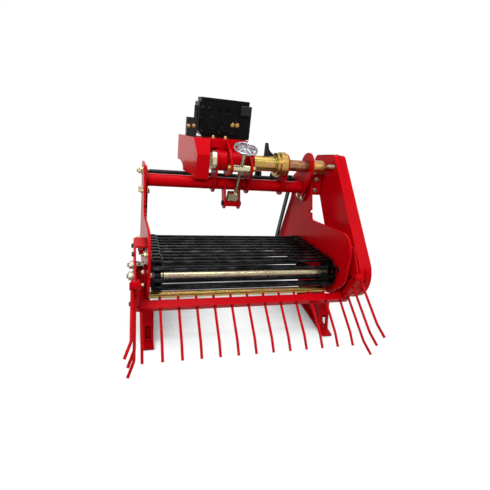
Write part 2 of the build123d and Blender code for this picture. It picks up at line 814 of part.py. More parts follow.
lever_x = collar_left - lever_width - 2
with BuildPart() as clutch_lever:
    with BuildSketch(across(axle_u + lever_forward)):
        with BuildLine():
            FilletPolyline(
                (lever_x, axle_w),
                (lever_x + lever_width, axle_w),
                (lever_x + lever_width, axle_w + 38),
                (lever_x + lever_width / 2, axle_w + 50),
                (lever_x + 12, axle_w + lever_rise),
                (lever_x + 2, axle_w + lever_rise),
                radius=[1, 1, 10, 30, 4, 4],
                close=True,
            )
        make_face()
    extrude(amount=-lever_thickness)
    with BuildSketch(side(lever_x - 1)):
        with Locations((axle_u, axle_w)):
            Circle(sleeve_diameter / 2 + weld_gap)
    extrude(amount=lever_width + 2, mode=Mode.SUBTRACT)
finish(clutch_lever, "clutch_lever")

with BuildPart() as left_disc:
    with BuildSketch(side(axle_left + 1)):
        with Locations((axle_u, axle_w)):
            Circle(disc_radius)
            Circle(axle_diameter / 2, mode=Mode.SUBTRACT)
    extrude(amount=axle_brackets[0][0] - bracket_width / 2 - axle_left - 1)
finish(left_disc, "left_disc")

with BuildPart() as shaft_end:
    with BuildSketch(side(axle_right)):
        with Locations((axle_u, axle_w)):
            Circle(end_collar_radius)
    extrude(amount=end_collar_length)
    with BuildSketch(side(axle_right + end_collar_length)):
        with Locations((axle_u, axle_w)):
            Circle(shaft_diameter / 2)
    extrude(amount=guard_inner + guard_sheet - axle_right - end_collar_length)
    with BuildSketch(side(guard_inner - end_nut_length - 1)):
        with Locations((axle_u, axle_w)):
            RegularPolygon(radius=end_nut_radius, side_count=6)
    extrude(amount=end_nut_length)
finish(shaft_end, "shaft_end")

# ---- clevis under the beam, and the depth screw --------------------------------------------------
upper_u, upper_w = head_to_side(trunnion_h, trunnion_v)
screw_run = hypot(upper_u - pivot_u, upper_w - pivot_w)
screw_axis = (place(upper_u, upper_w) - place(pivot_u, pivot_w)).normalized()
ear_inner = trunnion_length / 2 + ear_gap
clevis_inner = pivot_length / 2 + clevis_side_gap

with BuildPart() as screw_clevis:
    for name, hand in sides:
        with BuildSketch(side(pivot_x + hand * clevis_inner)):
            with Locations((beam_u - 4, beam_w - 14)):
                Circle(beam_diameter / 2)
            with Locations((pivot_u, pivot_w)):
                Circle(clevis_eye)
            make_hull()
            with Locations((beam_u, beam_w)):
                Circle(beam_diameter / 2, mode=Mode.SUBTRACT)
            with Locations((pivot_u, pivot_w)):
                Circle(journal_diameter / 2 + run_gap, mode=Mode.SUBTRACT)
        extrude(amount=hand * clevis_thickness)
    with BuildSketch(side(pivot_x - clevis_inner)):
        strip_u = pivot_u - (clevis_eye + foot_diameter / 2) / 2
        with Locations(Location((strip_u, pivot_w), clevis_strip_angle)):
            Rectangle(clevis_strip_thickness, clevis_strip_height)
    extrude(amount=2 * clevis_inner)
finish(screw_clevis, "screw_clevis")

with BuildPart() as depth_screw:
    with BuildSketch(side(pivot_x - pivot_length / 2)):
        with Locations((pivot_u, pivot_w)):
            Circle(foot_diameter / 2)
    extrude(amount=pivot_length)
    with BuildSketch(side(pivot_x - clevis_inner - clevis_thickness - journal_reach)):
        with Locations((pivot_u, pivot_w)):
            Circle(journal_diameter / 2)
    extrude(amount=2 * (clevis_inner + clevis_thickness + journal_reach))
    with BuildSketch(Plane(origin=place(pivot_u, pivot_w, pivot_x), x_dir=(1, 0, 0), z_dir=screw_axis)):
        RectangleRounded(pivot_length - 4, foot_depth, 5)
    extrude(amount=foot_rise)
    with BuildSketch(Plane(origin=place(pivot_u, pivot_w, screw_x), z_dir=screw_axis)):
        Circle(screw_diameter / 2)
    extrude(amount=screw_run + wheel_rise)
finish(depth_screw, "depth_screw")

wheel_middle = place(pivot_u, pivot_w, screw_x) + screw_axis * (screw_run + wheel_rise)
wheel_window_middle = wheel_diameter / 2 - wheel_rim - wheel_window / 2
with BuildPart() as handwheel:
    with BuildSketch(Plane(origin=wheel_middle, z_dir=screw_axis)):
        Circle(wheel_diameter / 2)
        with BuildSketch(mode=Mode.PRIVATE) as spokes:
            with PolarLocations(wheel_window_middle, wheel_spokes):
                Rectangle(3 * wheel_window, wheel_spoke_width)
        with BuildSketch(mode=Mode.PRIVATE) as windows:
            Circle(wheel_window_middle + wheel_window / 2)
            Circle(wheel_window_middle - wheel_window / 2, mode=Mode.SUBTRACT)
            add(spokes.sketch, mode=Mode.SUBTRACT)
        add(windows.sketch, mode=Mode.SUBTRACT)
    extrude(amount=wheel_thickness)
    rims = handwheel.edges().filter_by(GeomType.CIRCLE).sort_by(SortBy.RADIUS)[-2:]
    chamfer(rims, wheel_thickness / 4)
finish(handwheel, "handwheel")

with BuildPart() as upper_trunnion:
    with BuildSketch(side(screw_x - trunnion_length / 2)):
        with Locations((upper_u, upper_w)):
            Circle(trunnion_diameter / 2)
    extrude(amount=trunnion_length)
    with BuildSketch(side(screw_x - ear_inner - ear_thickness - journal_reach)):
        with Locations((upper_u, upper_w)):
            Circle(journal_diameter / 2)
    extrude(amount=2 * (ear_inner + ear_thickness + journal_reach))
    with BuildSketch(Plane(origin=place(pivot_u, pivot_w, screw_x), z_dir=screw_axis)):
        Circle(screw_diameter / 2 + screw_play)
    extrude(amount=screw_run + wheel_rise, mode=Mode.SUBTRACT)
finish(upper_trunnion, "upper_trunnion")

# ---- hitch head: a folded sheet box, open in front and below ---------------------------------------
head_plan = Plane(
    origin=place(*head_to_side(0, head_top)),
    x_dir=(1, 0, 0),
    z_dir=(0, sin(lean + tip), cos(lean + tip)),
)
head_box_bottom = -(axle_rise - beam_diameter / 2 - head_box_clearance)
side_inset = head_sheet * 1.1
box_parts = {}
for name, inset in (("box", 0.0), ("cavity", head_sheet)):
    opening = 20.0 if inset else 0.0
    with BuildPart() as box_solid:
        with BuildSketch(head(head_box_right - inset)):
            with BuildLine():
                Polyline(
                    (head_box_rear + inset, head_top - inset),
                    (head_box_ridge + inset * 1.1, head_box_ridge_rise),
                    (head_lip + inset, head_box_bottom - head_lip_drop - opening),
                    (head_lip + head_lip_width + inset, head_box_bottom - head_lip_drop - opening),
                    (head_box_rear_bottom + inset, head_box_bottom - opening),
                    (head_box_front + opening, head_box_bottom + 12 - 2 * opening),
                    (head_box_front + 5 + opening, head_box_front_rise),
                    (head_box_front + opening, head_top - inset),
                    close=True,
                )
            make_face()
        extrude(amount=head_box_left_front - head_box_right)
        with BuildSketch(head_plan):
            with BuildLine():
                slant = (head_box_left_front - head_box_left_rear) / (head_box_front - head_box_rear)
                left_rear = head_box_left_rear + inset * side_inset / head_sheet
                left_front = head_box_left_front + inset * side_inset / head_sheet
                Polyline(
                    (head_box_right, head_box_ridge),
                    (left_rear + slant * (head_box_ridge - head_box_rear), head_box_ridge),
                    (left_front + slant * 60, head_box_front + 60),
                    (head_box_right, head_box_front + 60),
                    close=True,
                )
            make_face()
        extrude(amount=2 * head_top, both=True, mode=Mode.INTERSECT)
    box_parts[name] = box_solid.part

with BuildPart() as hitch_box:
    add(box_parts["box"])
    add(box_parts["cavity"], mode=Mode.SUBTRACT)
    with BuildSketch(head(head_box_right + 1)):
        with Locations((head_box_front - 5, head_box_bottom + 12)):
            Circle(head_notch_radius)
    extrude(amount=head_box_left_front - head_box_right - 20, mode=Mode.SUBTRACT)
finish(hitch_box, "hitch_box")

ear_top = head_top - base_thickness
hub_left = axle_brackets[0][0] + bracket_width / 2 + hub_gap
hub_right = screw_x + ear_inner + ear_thickness
with BuildPart() as hitch_base:
    with BuildSketch(head_plan):
        with Locations(((head_box_right + base_right) / 2, (base_rear + gearbox_front) / 2)):
            Rectangle(base_right - head_box_right, gearbox_front - base_rear)
    extrude(amount=-base_thickness)
    for left, right, rear, depth in (
        (head_box_right, base_step, base_rear, base_shallow_apron),
        (base_step, base_right, base_rear, base_apron),
        (head_box_right, base_right, base_rib, base_rib_depth),
    ):
        with BuildSketch(head_plan):
            with Locations(((left + right) / 2, rear + head_sheet / 2)):
                Rectangle(right - left, head_sheet)
        extrude(amount=-depth)
    with BuildSketch(head(hub_left)):
        Circle(hub_radius)
        Circle(axle_diameter / 2 + run_gap, mode=Mode.SUBTRACT)
    extrude(amount=hub_right - hub_left)
    for name, hand in sides:
        with BuildSketch(head(screw_x + hand * ear_inner)):
            Circle(ear_radius)
            with Locations((trunnion_h, trunnion_v)):
                Circle(trunnion_eye)
            with Locations((base_rear + ear_run / 2, ear_top - 10)):
                Rectangle(ear_run, 20)
            make_hull()
            Circle(axle_diameter / 2 + run_gap, mode=Mode.SUBTRACT)
            with Locations((trunnion_h, trunnion_v)):
                Circle(journal_diameter / 2 + run_gap, mode=Mode.SUBTRACT)
        extrude(amount=hand * ear_thickness)
finish(hitch_base, "hitch_base")

gearbox_middle = ((gearbox_left + gearbox_right) / 2, (gearbox_rear + gearbox_front) / 2)
gearbox_width = gearbox_right - gearbox_left
gearbox_depth = gearbox_front - gearbox_rear
front_face = Plane(
    origin=place(*head_to_side(gearbox_front, input_v)),
    x_dir=(1, 0, 0),
    z_dir=head_forward,
)
cap_width = gearbox_width - 2 * cap_inset
cap_depth = gearbox_depth - 2 * cap_inset
with BuildPart() as gearbox:
    with BuildSketch(head_plan):
        with Locations(gearbox_middle):
            RectangleRounded(gearbox_width, gearbox_depth, gearbox_corner)
    extrude(amount=gearbox_height)
    with BuildSketch(head_plan.offset(gearbox_height)):
        with Locations(gearbox_middle):
            RectangleRounded(cap_width, cap_depth, gearbox_corner - 2)
    extrude(amount=cap_height)
    with BuildSketch(front_face.offset(1)):
        with BuildLine():
            Polyline(
                (gearbox_left, input_rise),
                (gearbox_left + gearbox_chamfer, input_rise),
                (gearbox_left, input_rise - gearbox_chamfer),
                close=True,
            )
        make_face()
    extrude(amount=-gearbox_depth - 2, mode=Mode.SUBTRACT)
    with BuildSketch(front_face):
        Circle(flange_diameter / 2)
    extrude(amount=flange_thickness)
    with BuildSketch(front_face.offset(flange_thickness)):
        with PolarLocations(flange_bolt_circle / 2, flange_bolts):
            Circle(flange_hole_diameter / 2)
        Circle(input_neck_diameter / 2 + run_gap)
    extrude(amount=-input_depth, mode=Mode.SUBTRACT)
finish(gearbox, "gearbox")

with BuildPart() as input_shaft:
    with BuildSketch(front_face.offset(flange_thickness - input_depth + weld_gap)):
        Circle(input_neck_diameter / 2)
    extrude(amount=input_depth - weld_gap + input_neck)
    with BuildSketch(front_face.offset(flange_thickness + input_neck)):
        Circle(input_diameter / 2)
    extrude(amount=input_stickout)
finish(input_shaft, "input_shaft")

with BuildPart() as post:
    with BuildSketch(head_plan):
        with Locations((post_left + post_width / 2, post_rear + post_depth / 2)):
            Rectangle(post_width, post_depth)
    extrude(amount=post_height)
finish(post, "post")
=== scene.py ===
# %% [markdown]
# # A rod-conveyor potato digger
# The digger is a small machine that a two-wheel tractor carries: a share lifts the row, a loop of steel
# rods sieves the soil off, and a comb of tines lays the potatoes down behind. The imported CAD model is
# the fixed frame. It is loaded first, and its size is kept.

# %% Load the frame
import bmesh
import bpy
import json
import math
from mathutils import Matrix, Vector


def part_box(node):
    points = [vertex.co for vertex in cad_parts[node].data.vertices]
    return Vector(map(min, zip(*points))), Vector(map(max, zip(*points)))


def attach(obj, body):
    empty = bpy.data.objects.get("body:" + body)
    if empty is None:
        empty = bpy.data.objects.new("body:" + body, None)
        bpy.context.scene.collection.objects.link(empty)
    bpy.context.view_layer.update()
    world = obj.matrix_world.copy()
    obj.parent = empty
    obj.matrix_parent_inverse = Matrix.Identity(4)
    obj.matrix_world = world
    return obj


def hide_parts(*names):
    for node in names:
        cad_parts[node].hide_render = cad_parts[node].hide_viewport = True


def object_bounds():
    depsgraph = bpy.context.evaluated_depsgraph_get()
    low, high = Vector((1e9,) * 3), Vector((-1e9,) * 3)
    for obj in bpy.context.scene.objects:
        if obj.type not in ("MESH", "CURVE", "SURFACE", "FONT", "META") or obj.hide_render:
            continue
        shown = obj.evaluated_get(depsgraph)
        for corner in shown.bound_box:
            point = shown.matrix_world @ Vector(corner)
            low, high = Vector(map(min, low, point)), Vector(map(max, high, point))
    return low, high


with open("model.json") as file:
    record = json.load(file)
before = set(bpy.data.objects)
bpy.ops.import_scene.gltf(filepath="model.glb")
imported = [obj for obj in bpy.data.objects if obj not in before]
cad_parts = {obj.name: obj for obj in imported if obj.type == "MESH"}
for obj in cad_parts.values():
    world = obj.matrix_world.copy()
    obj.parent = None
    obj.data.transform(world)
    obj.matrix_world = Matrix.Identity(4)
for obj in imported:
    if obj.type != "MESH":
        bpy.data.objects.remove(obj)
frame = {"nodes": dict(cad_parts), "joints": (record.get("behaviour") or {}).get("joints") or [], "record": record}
nodes = frame["nodes"]
joints = {joint["name"]: joint for joint in frame["joints"]}
cad_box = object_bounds()
print("CAD nodes:", len(nodes))

# %% [markdown]
# The machine's sides are drawn on planes that lean with the conveyor bed, 8 degrees nose-down. Working
# with the same two directions here keeps every bolt on the plate it belongs to. The corner that they are
# counted from is where the comb's tines leave their bar, found from the comb's hinge. The hitch head leans
# 2 degrees more, round the upper axle, so it has two directions of its own. The comb's right hinge is given
# as (x, u, w) in millimetres, and the beam and the upper drive by the (u, w) of their middle lines.

# %% Directions and heights
MM = 0.001
SLOPE = math.radians(8.0)
HEAD_LEAN = math.radians(-2.0)
FLOOR = min(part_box("left_skid")[0].z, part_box("right_skid")[0].z)
HINGE = (380, -48, 113)
BEAM = (366, 358)
DRIVE = (335, 450)
RIGHT = Vector((1, 0, 0))
FORWARD = Vector((0, math.cos(SLOPE), -math.sin(SLOPE)))
UPWARD = Vector((0, math.sin(SLOPE), math.cos(SLOPE)))
HEAD_FORWARD = FORWARD * math.cos(HEAD_LEAN) - UPWARD * math.sin(HEAD_LEAN)
HEAD_UP = FORWARD * math.sin(HEAD_LEAN) + UPWARD * math.cos(HEAD_LEAN)
ROOT = Vector(joints["comb_tilt"]["pos_m"]) - FORWARD * (HINGE[1] * MM) - UPWARD * (HINGE[2] * MM)
ROOT.x = 0.0
AXLE = Vector(joints["hitch_tilt"]["pos_m"])
AXLE.x = 0.0


def at(x, u, w):
    """A point given in millimetres: x to the right, u along the bed, w square to it."""
    return ROOT + RIGHT * (x * MM) + FORWARD * (u * MM) + UPWARD * (w * MM)


def at_head(x, ahead, above):
    """A point of the hitch head in millimetres, counted from the upper axle."""
    return AXLE + RIGHT * (x * MM) + HEAD_FORWARD * (ahead * MM) + HEAD_UP * (above * MM)


print("floor", round(FLOOR, 4), "root of the tines", [round(c, 4) for c in ROOT])

# %% [markdown]
# A camera stands behind the machine, to its left, at about the height of a person's hip, looking slightly
# down. The way it looks, its upward side and the place it stands are all given along x, u and w.

# %% Camera
LOOK = Vector((0.29881, 0.90513, -0.30242))
OVER = Vector((-0.00156, 0.31736, 0.94830))
STAND = (-408.0, -1128.0, 595.9)


def to_world(v):
    """A direction given along x, u and w."""
    return RIGHT * v.x + FORWARD * v.y + UPWARD * v.z


camera_data = bpy.data.cameras.new("camera")
camera_data.lens = 28.07
camera_data.sensor_width = 36.0
camera = bpy.data.objects.new("camera", camera_data)
bpy.context.scene.collection.objects.link(camera)
behind = -to_world(LOOK).normalized()
side_on = to_world(OVER).cross(behind).normalized()
turned_up = behind.cross(side_on).normalized()
axes = Matrix((side_on, turned_up, behind)).transposed().to_4x4()
camera.matrix_world = Matrix.Translation(at(*STAND)) @ axes
bpy.context.scene.camera = camera
print("camera at", [round(c, 3) for c in camera.matrix_world.translation])

# %% [markdown]
# Colours are written as sRGB hex values, the way a paint chart gives them. Blender's shaders work in
# linear light, so one function turns them. A second small function adds a shader node, gives it its
# settings and joins its inputs, which keeps every material below down to a few readable lines.

# %% Colours and nodes
def srgb(code):
    """A hex colour as linear red, green, blue and alpha."""
    values = [int(code[i:i + 2], 16) / 255 for i in (1, 3, 5)]
    return [c / 12.92 if c <= 0.04045 else ((c + 0.055) / 1.055) ** 2.4 for c in values] + [1.0]


def add_node(tree, kind, settings=None, **links):
    """Adds a shader node. Settings are its attributes or input values, and links join its inputs."""
    node = tree.nodes.new("ShaderNode" + kind)
    for name, value in (settings or {}).items():
        if hasattr(node, name):
            setattr(node, name, value)
        else:
            node.inputs[int(name[1:]) if name[0] == "_" else name].default_value = value
    for name, source in links.items():
        tree.links.new(source, node.inputs[int(name[1:]) if name[0] == "_" else name.replace("_", " ")])
    return node


print("red enamel in linear light:", [round(c, 3) for c in srgb("#C4000E")])

# %% [markdown]
# The studio is plain white. A world that is simply white would also throw a lot of light, so the Light
# Path node splits it: the camera and the mirror-like rays see pure white, while the light that falls on
# the paint stays at a plain level, where a colour comes out about as it is written.

# %% World
def sees_white(tree):
    """A value of 1 for the camera's, the mirror-like and the transmitted rays, and 0 for all others."""
    ray = add_node(tree, "LightPath")
    seen = add_node(tree, "Math", {"operation": "MAXIMUM"}, _0=ray.outputs["Is Camera Ray"],
                    _1=ray.outputs["Is Glossy Ray"])
    return add_node(tree, "Math", {"operation": "MAXIMUM"}, _0=seen.outputs[0],
                    _1=ray.outputs["Is Transmission Ray"])


world = bpy.data.worlds.new("studio")
bpy.context.scene.world = world
world.use_nodes = True
tree = world.node_tree
tree.nodes.clear()
seen = sees_white(tree)
soft = add_node(tree, "Background", {"Color": srgb("#FFFFFF"), "Strength": 0.22})
white = add_node(tree, "Background", {"Color": srgb("#FFFFFF"), "Strength": 1.0})
both = add_node(tree, "MixShader", None, _0=seen.outputs[0], _1=soft.outputs[0], _2=white.outputs[0])
add_node(tree, "OutputWorld", None, Surface=both.outputs[0])
print("world nodes:", len(tree.nodes))

# %% [markdown]
# The floor is matt white card. To the camera it glows as white as the background, so that no horizon
# shows. Where the machine shuts the floor in, an Ambient Occlusion node takes the glow down. That is a
# painted shadow: the soft dark patch that a machine has under it. To the light that bounces off it, it is
# plain card.

# %% Floor
floor_mesh = bpy.data.meshes.new("floor")
floor_mesh.from_pydata([(-6, -6, FLOOR), (6, -6, FLOOR), (6, 6, FLOOR), (-6, 6, FLOOR)], [], [(0, 1, 2, 3)])
floor = bpy.data.objects.new("floor", floor_mesh)
bpy.context.scene.collection.objects.link(floor)
card = bpy.data.materials.new("matt_white_card")
card.use_nodes = True
tree = card.node_tree
tree.nodes.clear()
seen = sees_white(tree)
# Painted shadow: the glow is dimmed by ambient occlusion under and near the machine.
open_sky = add_node(tree, "AmbientOcclusion", {"Distance": 0.32, "samples": 32})
floor_painted_shadow = add_node(tree, "MapRange", {"From Min": 0.20, "From Max": 0.60, "To Min": 0.03, "To Max": 1.0},
                   Value=open_sky.outputs["AO"])
glow = add_node(tree, "Emission", {"Color": srgb("#FFFFFF")}, Strength=floor_painted_shadow.outputs[0])
lit = add_node(tree, "BsdfDiffuse", {"Color": srgb("#303030")})
shown = add_node(tree, "AddShader", None, _0=glow.outputs[0], _1=lit.outputs[0])
plain = add_node(tree, "BsdfDiffuse", {"Color": srgb("#D8D8D8")})
both = add_node(tree, "MixShader", None, _0=seen.outputs[0], _1=plain.outputs[0], _2=shown.outputs[0])
add_node(tree, "OutputMaterial", None, Surface=both.outputs[0])
floor_mesh.materials.append(card)
print("floor at", round(FLOOR, 4))

# %% [markdown]
# Three large soft lamps make the quiet light of a studio: one behind the camera's left shoulder, a weaker
# one to the right, and one above. A narrow tube of light over the camera draws the thin bright line along
# the machine's round bars.

# %% Lamps
def lamp(name, at_point, wide, deep, watts):
    """A soft lamp this wide and deep that faces the middle of the machine."""
    data = bpy.data.lights.new(name, "AREA")
    data.shape = "RECTANGLE"
    data.size = wide
    data.size_y = deep
    data.energy = watts
    light = bpy.data.objects.new(name, data)
    light.location = at_point
    middle = (Vector(cad_box[0]) + Vector(cad_box[1])) / 2
    light.rotation_euler = (middle - Vector(at_point)).to_track_quat("-Z", "Y").to_euler()
    bpy.context.scene.collection.objects.link(light)
    return light


lamp("key", (-1.2, -1.9, 1.7), 1.0, 1.0, 41)
lamp("fill", (1.9, -1.2, 0.9), 1.6, 1.6, 12)
lamp("top", (0.1, -0.2, 2.2), 1.4, 1.4, 33)
lamp("tube", (0.0, -1.3, 1.5), 1.8, 0.06, 7)
print("lamps:", len(bpy.data.lights))

# %% [markdown]
# ## The finishes
# Seven kinds of finish cover the machine. Each is drawn in the object's own coordinates, which are
# metres, so a pattern that repeats every N millimetres has a scale of 1000 / N. A small function gives the
# start that all of them share: a new material, its shader, and coordinates that stay on the piece when it
# moves.

# %% Start of a finish
def new_finish(name):
    """A material with its tree, its shader and its coordinates."""
    material = bpy.data.materials.new(name)
    material.use_nodes = True
    tree = material.node_tree
    shader = tree.nodes["Principled BSDF"]
    place = add_node(tree, "TexCoord").outputs["Object"]
    return material, tree, shader, place


def per(millimetres):
    """The texture scale at which a pattern repeats after so many millimetres."""
    return 1000.0 / millimetres


print("a 4 mm pattern has scale", per(4))

# %% [markdown]
# Red: gloss enamel sprayed over plate steel. Sprayed paint is never quite even. It has orange peel, a
# ripple some 3 mm wide, the plate under it is faintly wavy, and it lies thinner on the flats than in the
# corners. The corners are darker: painted shade from an Ambient Occlusion node, which also stands for the
# paint pooling there. Its edges are round, because paint draws back from a sharp one, so the Bevel node
# turns them by a millimetre for the light. Paint has an IOR of about 1.5. Seen squarely its shine is held
# low, and at a slant lower still, since a white studio would otherwise lay a grey veil over the colour.
# The hitch box is flatter sheet with clear lacquer on it, and at a slant that side turns pale.

# %% Red enamel
# The darkest red: painted shade in the corners, which also stands for pooled paint.
POOLED_AND_SHADED_RED = "#520004"


def red_enamel(name, flat, slant_start, slant_shine, lacquered=False):
    """Gloss enamel in one red, with painted shade in its corners that also stands for pooled paint, and the shine
    it has from this slant on.
    """
    material, tree, shader, place = new_finish(name)
    cloud = add_node(tree, "TexNoise", {"Scale": per(70), "Detail": 3.0}, Vector=place)
    # Painted shade: an Ambient Occlusion node darkens the red in corners and recesses.
    corner = add_node(tree, "AmbientOcclusion", {"Distance": 12 * MM, "samples": 8})
    dark = add_node(tree, "MapRange", {"From Min": 0.35, "From Max": 0.95}, Value=corner.outputs["AO"])
    uneven = add_node(tree, "MapRange", {"From Min": 0.3, "From Max": 0.7, "To Min": 0.82, "To Max": 1.0},
                      Value=cloud.outputs["Fac"])
    amount = add_node(tree, "Math", {"operation": "MULTIPLY"}, _0=dark.outputs[0], _1=uneven.outputs[0])
    colour = add_node(tree, "ValToRGB", None, Fac=amount.outputs[0])
    colour.color_ramp.elements[0].color = srgb(POOLED_AND_SHADED_RED)
    colour.color_ramp.elements[1].color = srgb(flat)
    tree.links.new(colour.outputs["Color"], shader.inputs["Base Color"])
    rounded = add_node(tree, "Bevel", {"samples": 4, "Radius": 1.0 * MM})
    peel = add_node(tree, "TexNoise", {"Scale": per(3), "Detail": 1.0}, Vector=place)
    wavy = add_node(tree, "TexNoise", {"Scale": per(55), "Detail": 1.0}, Vector=place)
    ripple = add_node(tree, "Bump", {"Strength": 0.10, "Distance": 0.1 * MM}, Height=peel.outputs["Fac"],
                      Normal=rounded.outputs[0])
    bend = add_node(tree, "Bump", {"Strength": 0.35, "Distance": 0.8 * MM}, Height=wavy.outputs["Fac"],
                    Normal=ripple.outputs[0])
    tree.links.new(bend.outputs[0], shader.inputs["Normal"])
    sheen = add_node(tree, "MapRange", {"To Min": 0.24, "To Max": 0.36}, Value=cloud.outputs["Fac"])
    tree.links.new(sheen.outputs[0], shader.inputs["Roughness"])
    shader.inputs["IOR"].default_value = 1.5
    facing = add_node(tree, "LayerWeight", {"Blend": 0.5})
    slant = add_node(tree, "MapRange", {"From Min": slant_start, "From Max": slant_start + 0.2},
                     Value=facing.outputs["Facing"])
    shine = add_node(tree, "MapRange", {"To Min": 0.05, "To Max": slant_shine}, Value=slant.outputs[0])
    tree.links.new(shine.outputs[0], shader.inputs["Specular IOR Level"])
    if lacquered:
        tree.links.new(slant.outputs[0], shader.inputs["Coat Weight"])
    return material


RED = red_enamel("red_gloss_enamel", "#C4000E", 0.60, 0.03)
POLISHED_RED = red_enamel("red_gloss_enamel_polished", "#CC000E", 0.22, 1.0, lacquered=True)
print(RED.name, POLISHED_RED.name)

# %% [markdown]
# Black: satin enamel on the straps, the tie bar, the lever and the post. It is the same sprayed paint
# with a flatter surface. The gearbox wears it over a sand-cast housing, whose grain of about 1.5 mm is
# the mould's sand, drawn a little coarser here so that it shows.

# %% Black enamel, plain and on cast iron
def black_enamel(name, grain, depth, shine):
    """Satin black enamel over a surface with this grain and depth, both in millimetres."""
    material, tree, shader, place = new_finish(name)
    cloud = add_node(tree, "TexNoise", {"Scale": per(40), "Detail": 4.0}, Vector=place)
    colour = add_node(tree, "ValToRGB", None, Fac=cloud.outputs["Fac"])
    colour.color_ramp.elements[0].color = srgb("#050505")
    colour.color_ramp.elements[1].color = srgb("#121110")
    tree.links.new(colour.outputs["Color"], shader.inputs["Base Color"])
    rounded = add_node(tree, "Bevel", {"samples": 4, "Radius": 1.0 * MM})
    sand = add_node(tree, "TexNoise", {"Scale": per(grain), "Detail": 3.0}, Vector=place)
    rough = add_node(tree, "Bump", {"Strength": 0.6, "Distance": depth * MM}, Height=sand.outputs["Fac"],
                     Normal=rounded.outputs[0])
    tree.links.new(rough.outputs[0], shader.inputs["Normal"])
    sheen = add_node(tree, "MapRange", {"To Min": 0.30, "To Max": 0.48}, Value=sand.outputs["Fac"])
    tree.links.new(sheen.outputs[0], shader.inputs["Roughness"])
    shader.inputs["IOR"].default_value = 1.5
    shader.inputs["Specular IOR Level"].default_value = shine
    return material


BLACK = black_enamel("black_satin_enamel", 3.0, 0.05, 0.25)
CAST_BLACK = black_enamel("black_enamel_on_cast_iron", 2.5, 0.22, 0.05)
print(BLACK.name, CAST_BLACK.name)

# %% [markdown]
# Yellow zinc: steel plated with zinc and dipped in yellow passivate. The film is so thin that it shows
# oil-like colours, gold going to green and rose over a few centimetres. A fresh dip is yellow, a thick one
# bronze, and the shafts, the screw and the frame's bolts have a pale one. Under it a turned part keeps the
# lathe's rings, about two millimetres apart here, which is coarser than real ones. It is a metal, so
# metallic is 1 and the IOR stays as it is.

# %% Yellow zinc
def passivated_zinc(name, tones, rough, rings=True):
    """Zinc plating with a passivate film in three tones, from one end of its play of colour to the other."""
    material, tree, shader, place = new_finish(name)
    film = add_node(tree, "TexNoise", {"Scale": per(38), "Detail": 2.0, "Distortion": 0.8}, Vector=place)
    colour = add_node(tree, "ValToRGB", None, Fac=film.outputs["Fac"])
    colour.color_ramp.elements[0].position = 0.36
    colour.color_ramp.elements[0].color = srgb(tones[0])
    colour.color_ramp.elements[1].position = 0.64
    colour.color_ramp.elements[1].color = srgb(tones[2])
    colour.color_ramp.elements.new(0.5).color = srgb(tones[1])
    tree.links.new(colour.outputs["Color"], shader.inputs["Base Color"])
    stain = add_node(tree, "TexNoise", {"Scale": per(16), "Detail": 2.0}, Vector=place)
    dull = add_node(tree, "MapRange", {"To Min": rough - 0.06, "To Max": rough + 0.08},
                    Value=stain.outputs["Fac"])
    tree.links.new(dull.outputs[0], shader.inputs["Roughness"])
    rounded = add_node(tree, "Bevel", {"samples": 4, "Radius": 0.6 * MM})
    lathe = add_node(tree, "TexWave", {"bands_direction": "X", "Scale": per(2.2) / 20,
                                       "Distortion": 0.5, "Detail": 0.0}, Vector=place)
    groove = add_node(tree, "Bump", {"Strength": 0.05 if rings else 0.02, "Distance": 0.03 * MM},
                      Height=lathe.outputs["Fac"], Normal=rounded.outputs[0])
    tree.links.new(groove.outputs[0], shader.inputs["Normal"])
    shader.inputs["Metallic"].default_value = 1.0
    return material


YELLOW_ZINC = passivated_zinc("yellow_passivated_zinc", ("#B98A66", "#B8954C", "#9E9050"), 0.28)
BRONZE_ZINC = passivated_zinc("bronze_passivated_zinc", ("#8E5B45", "#A07550", "#7C5A48"), 0.30)
PALE_ZINC = passivated_zinc("pale_passivated_zinc", ("#C2AC94", "#C9C49E", "#C4BF98"), 0.24)
print(YELLOW_ZINC.name, BRONZE_ZINC.name, PALE_ZINC.name)

# %% [markdown]
# Dull zinc: the same plating with a clear dip, on the shaft-end nuts and the share's bolts. It has gone
# matt and grey, and is blotched where wet hands have touched it.

# %% Dull zinc
DULL_ZINC = passivated_zinc("clear_passivated_zinc", ("#8F8A7C", "#A8A292", "#B4B0A4"), 0.36, rings=False)
print(DULL_ZINC.name)

# %% [markdown]
# Blackened steel: the conveyor's rods and links are spring steel, dipped in oil while hot. That leaves a
# blue-black skin with a soft shine, lighter where the links rub each other. It is a metal with a very
# dark colour.

# %% Oil-blackened steel
def blackened_steel():
    """Dark metal, with lighter rubbed patches a few centimetres wide."""
    material, tree, shader, place = new_finish("oil_blackened_steel")
    rub = add_node(tree, "TexNoise", {"Scale": per(40), "Detail": 3.0, "Roughness": 0.55}, Vector=place)
    colour = add_node(tree, "ValToRGB", None, Fac=rub.outputs["Fac"])
    colour.color_ramp.elements[0].position = 0.40
    colour.color_ramp.elements[0].color = srgb("#101113")
    colour.color_ramp.elements[1].position = 0.75
    colour.color_ramp.elements[1].color = srgb("#2E2F32")
    tree.links.new(colour.outputs["Color"], shader.inputs["Base Color"])
    rounded = add_node(tree, "Bevel", {"samples": 4, "Radius": 0.8 * MM})
    scale_marks = add_node(tree, "TexNoise", {"Scale": per(2), "Detail": 3.0}, Vector=place)
    pitted = add_node(tree, "Bump", {"Strength": 0.06, "Distance": 0.06 * MM},
                      Height=scale_marks.outputs["Fac"], Normal=rounded.outputs[0])
    tree.links.new(pitted.outputs[0], shader.inputs["Normal"])
    dull = add_node(tree, "MapRange", {"To Min": 0.20, "To Max": 0.34}, Value=rub.outputs["Fac"])
    tree.links.new(dull.outputs[0], shader.inputs["Roughness"])
    shader.inputs["Metallic"].default_value = 1.0
    return material


BLACK_STEEL = blackened_steel()
print(BLACK_STEEL.name)

# %% [markdown]
# Chrome: the handwheel is a zinc casting, plated bright. The casting's skin is uneven under the plating,
# a few millimetres from dimple to dimple, and that breaks the reflections up.

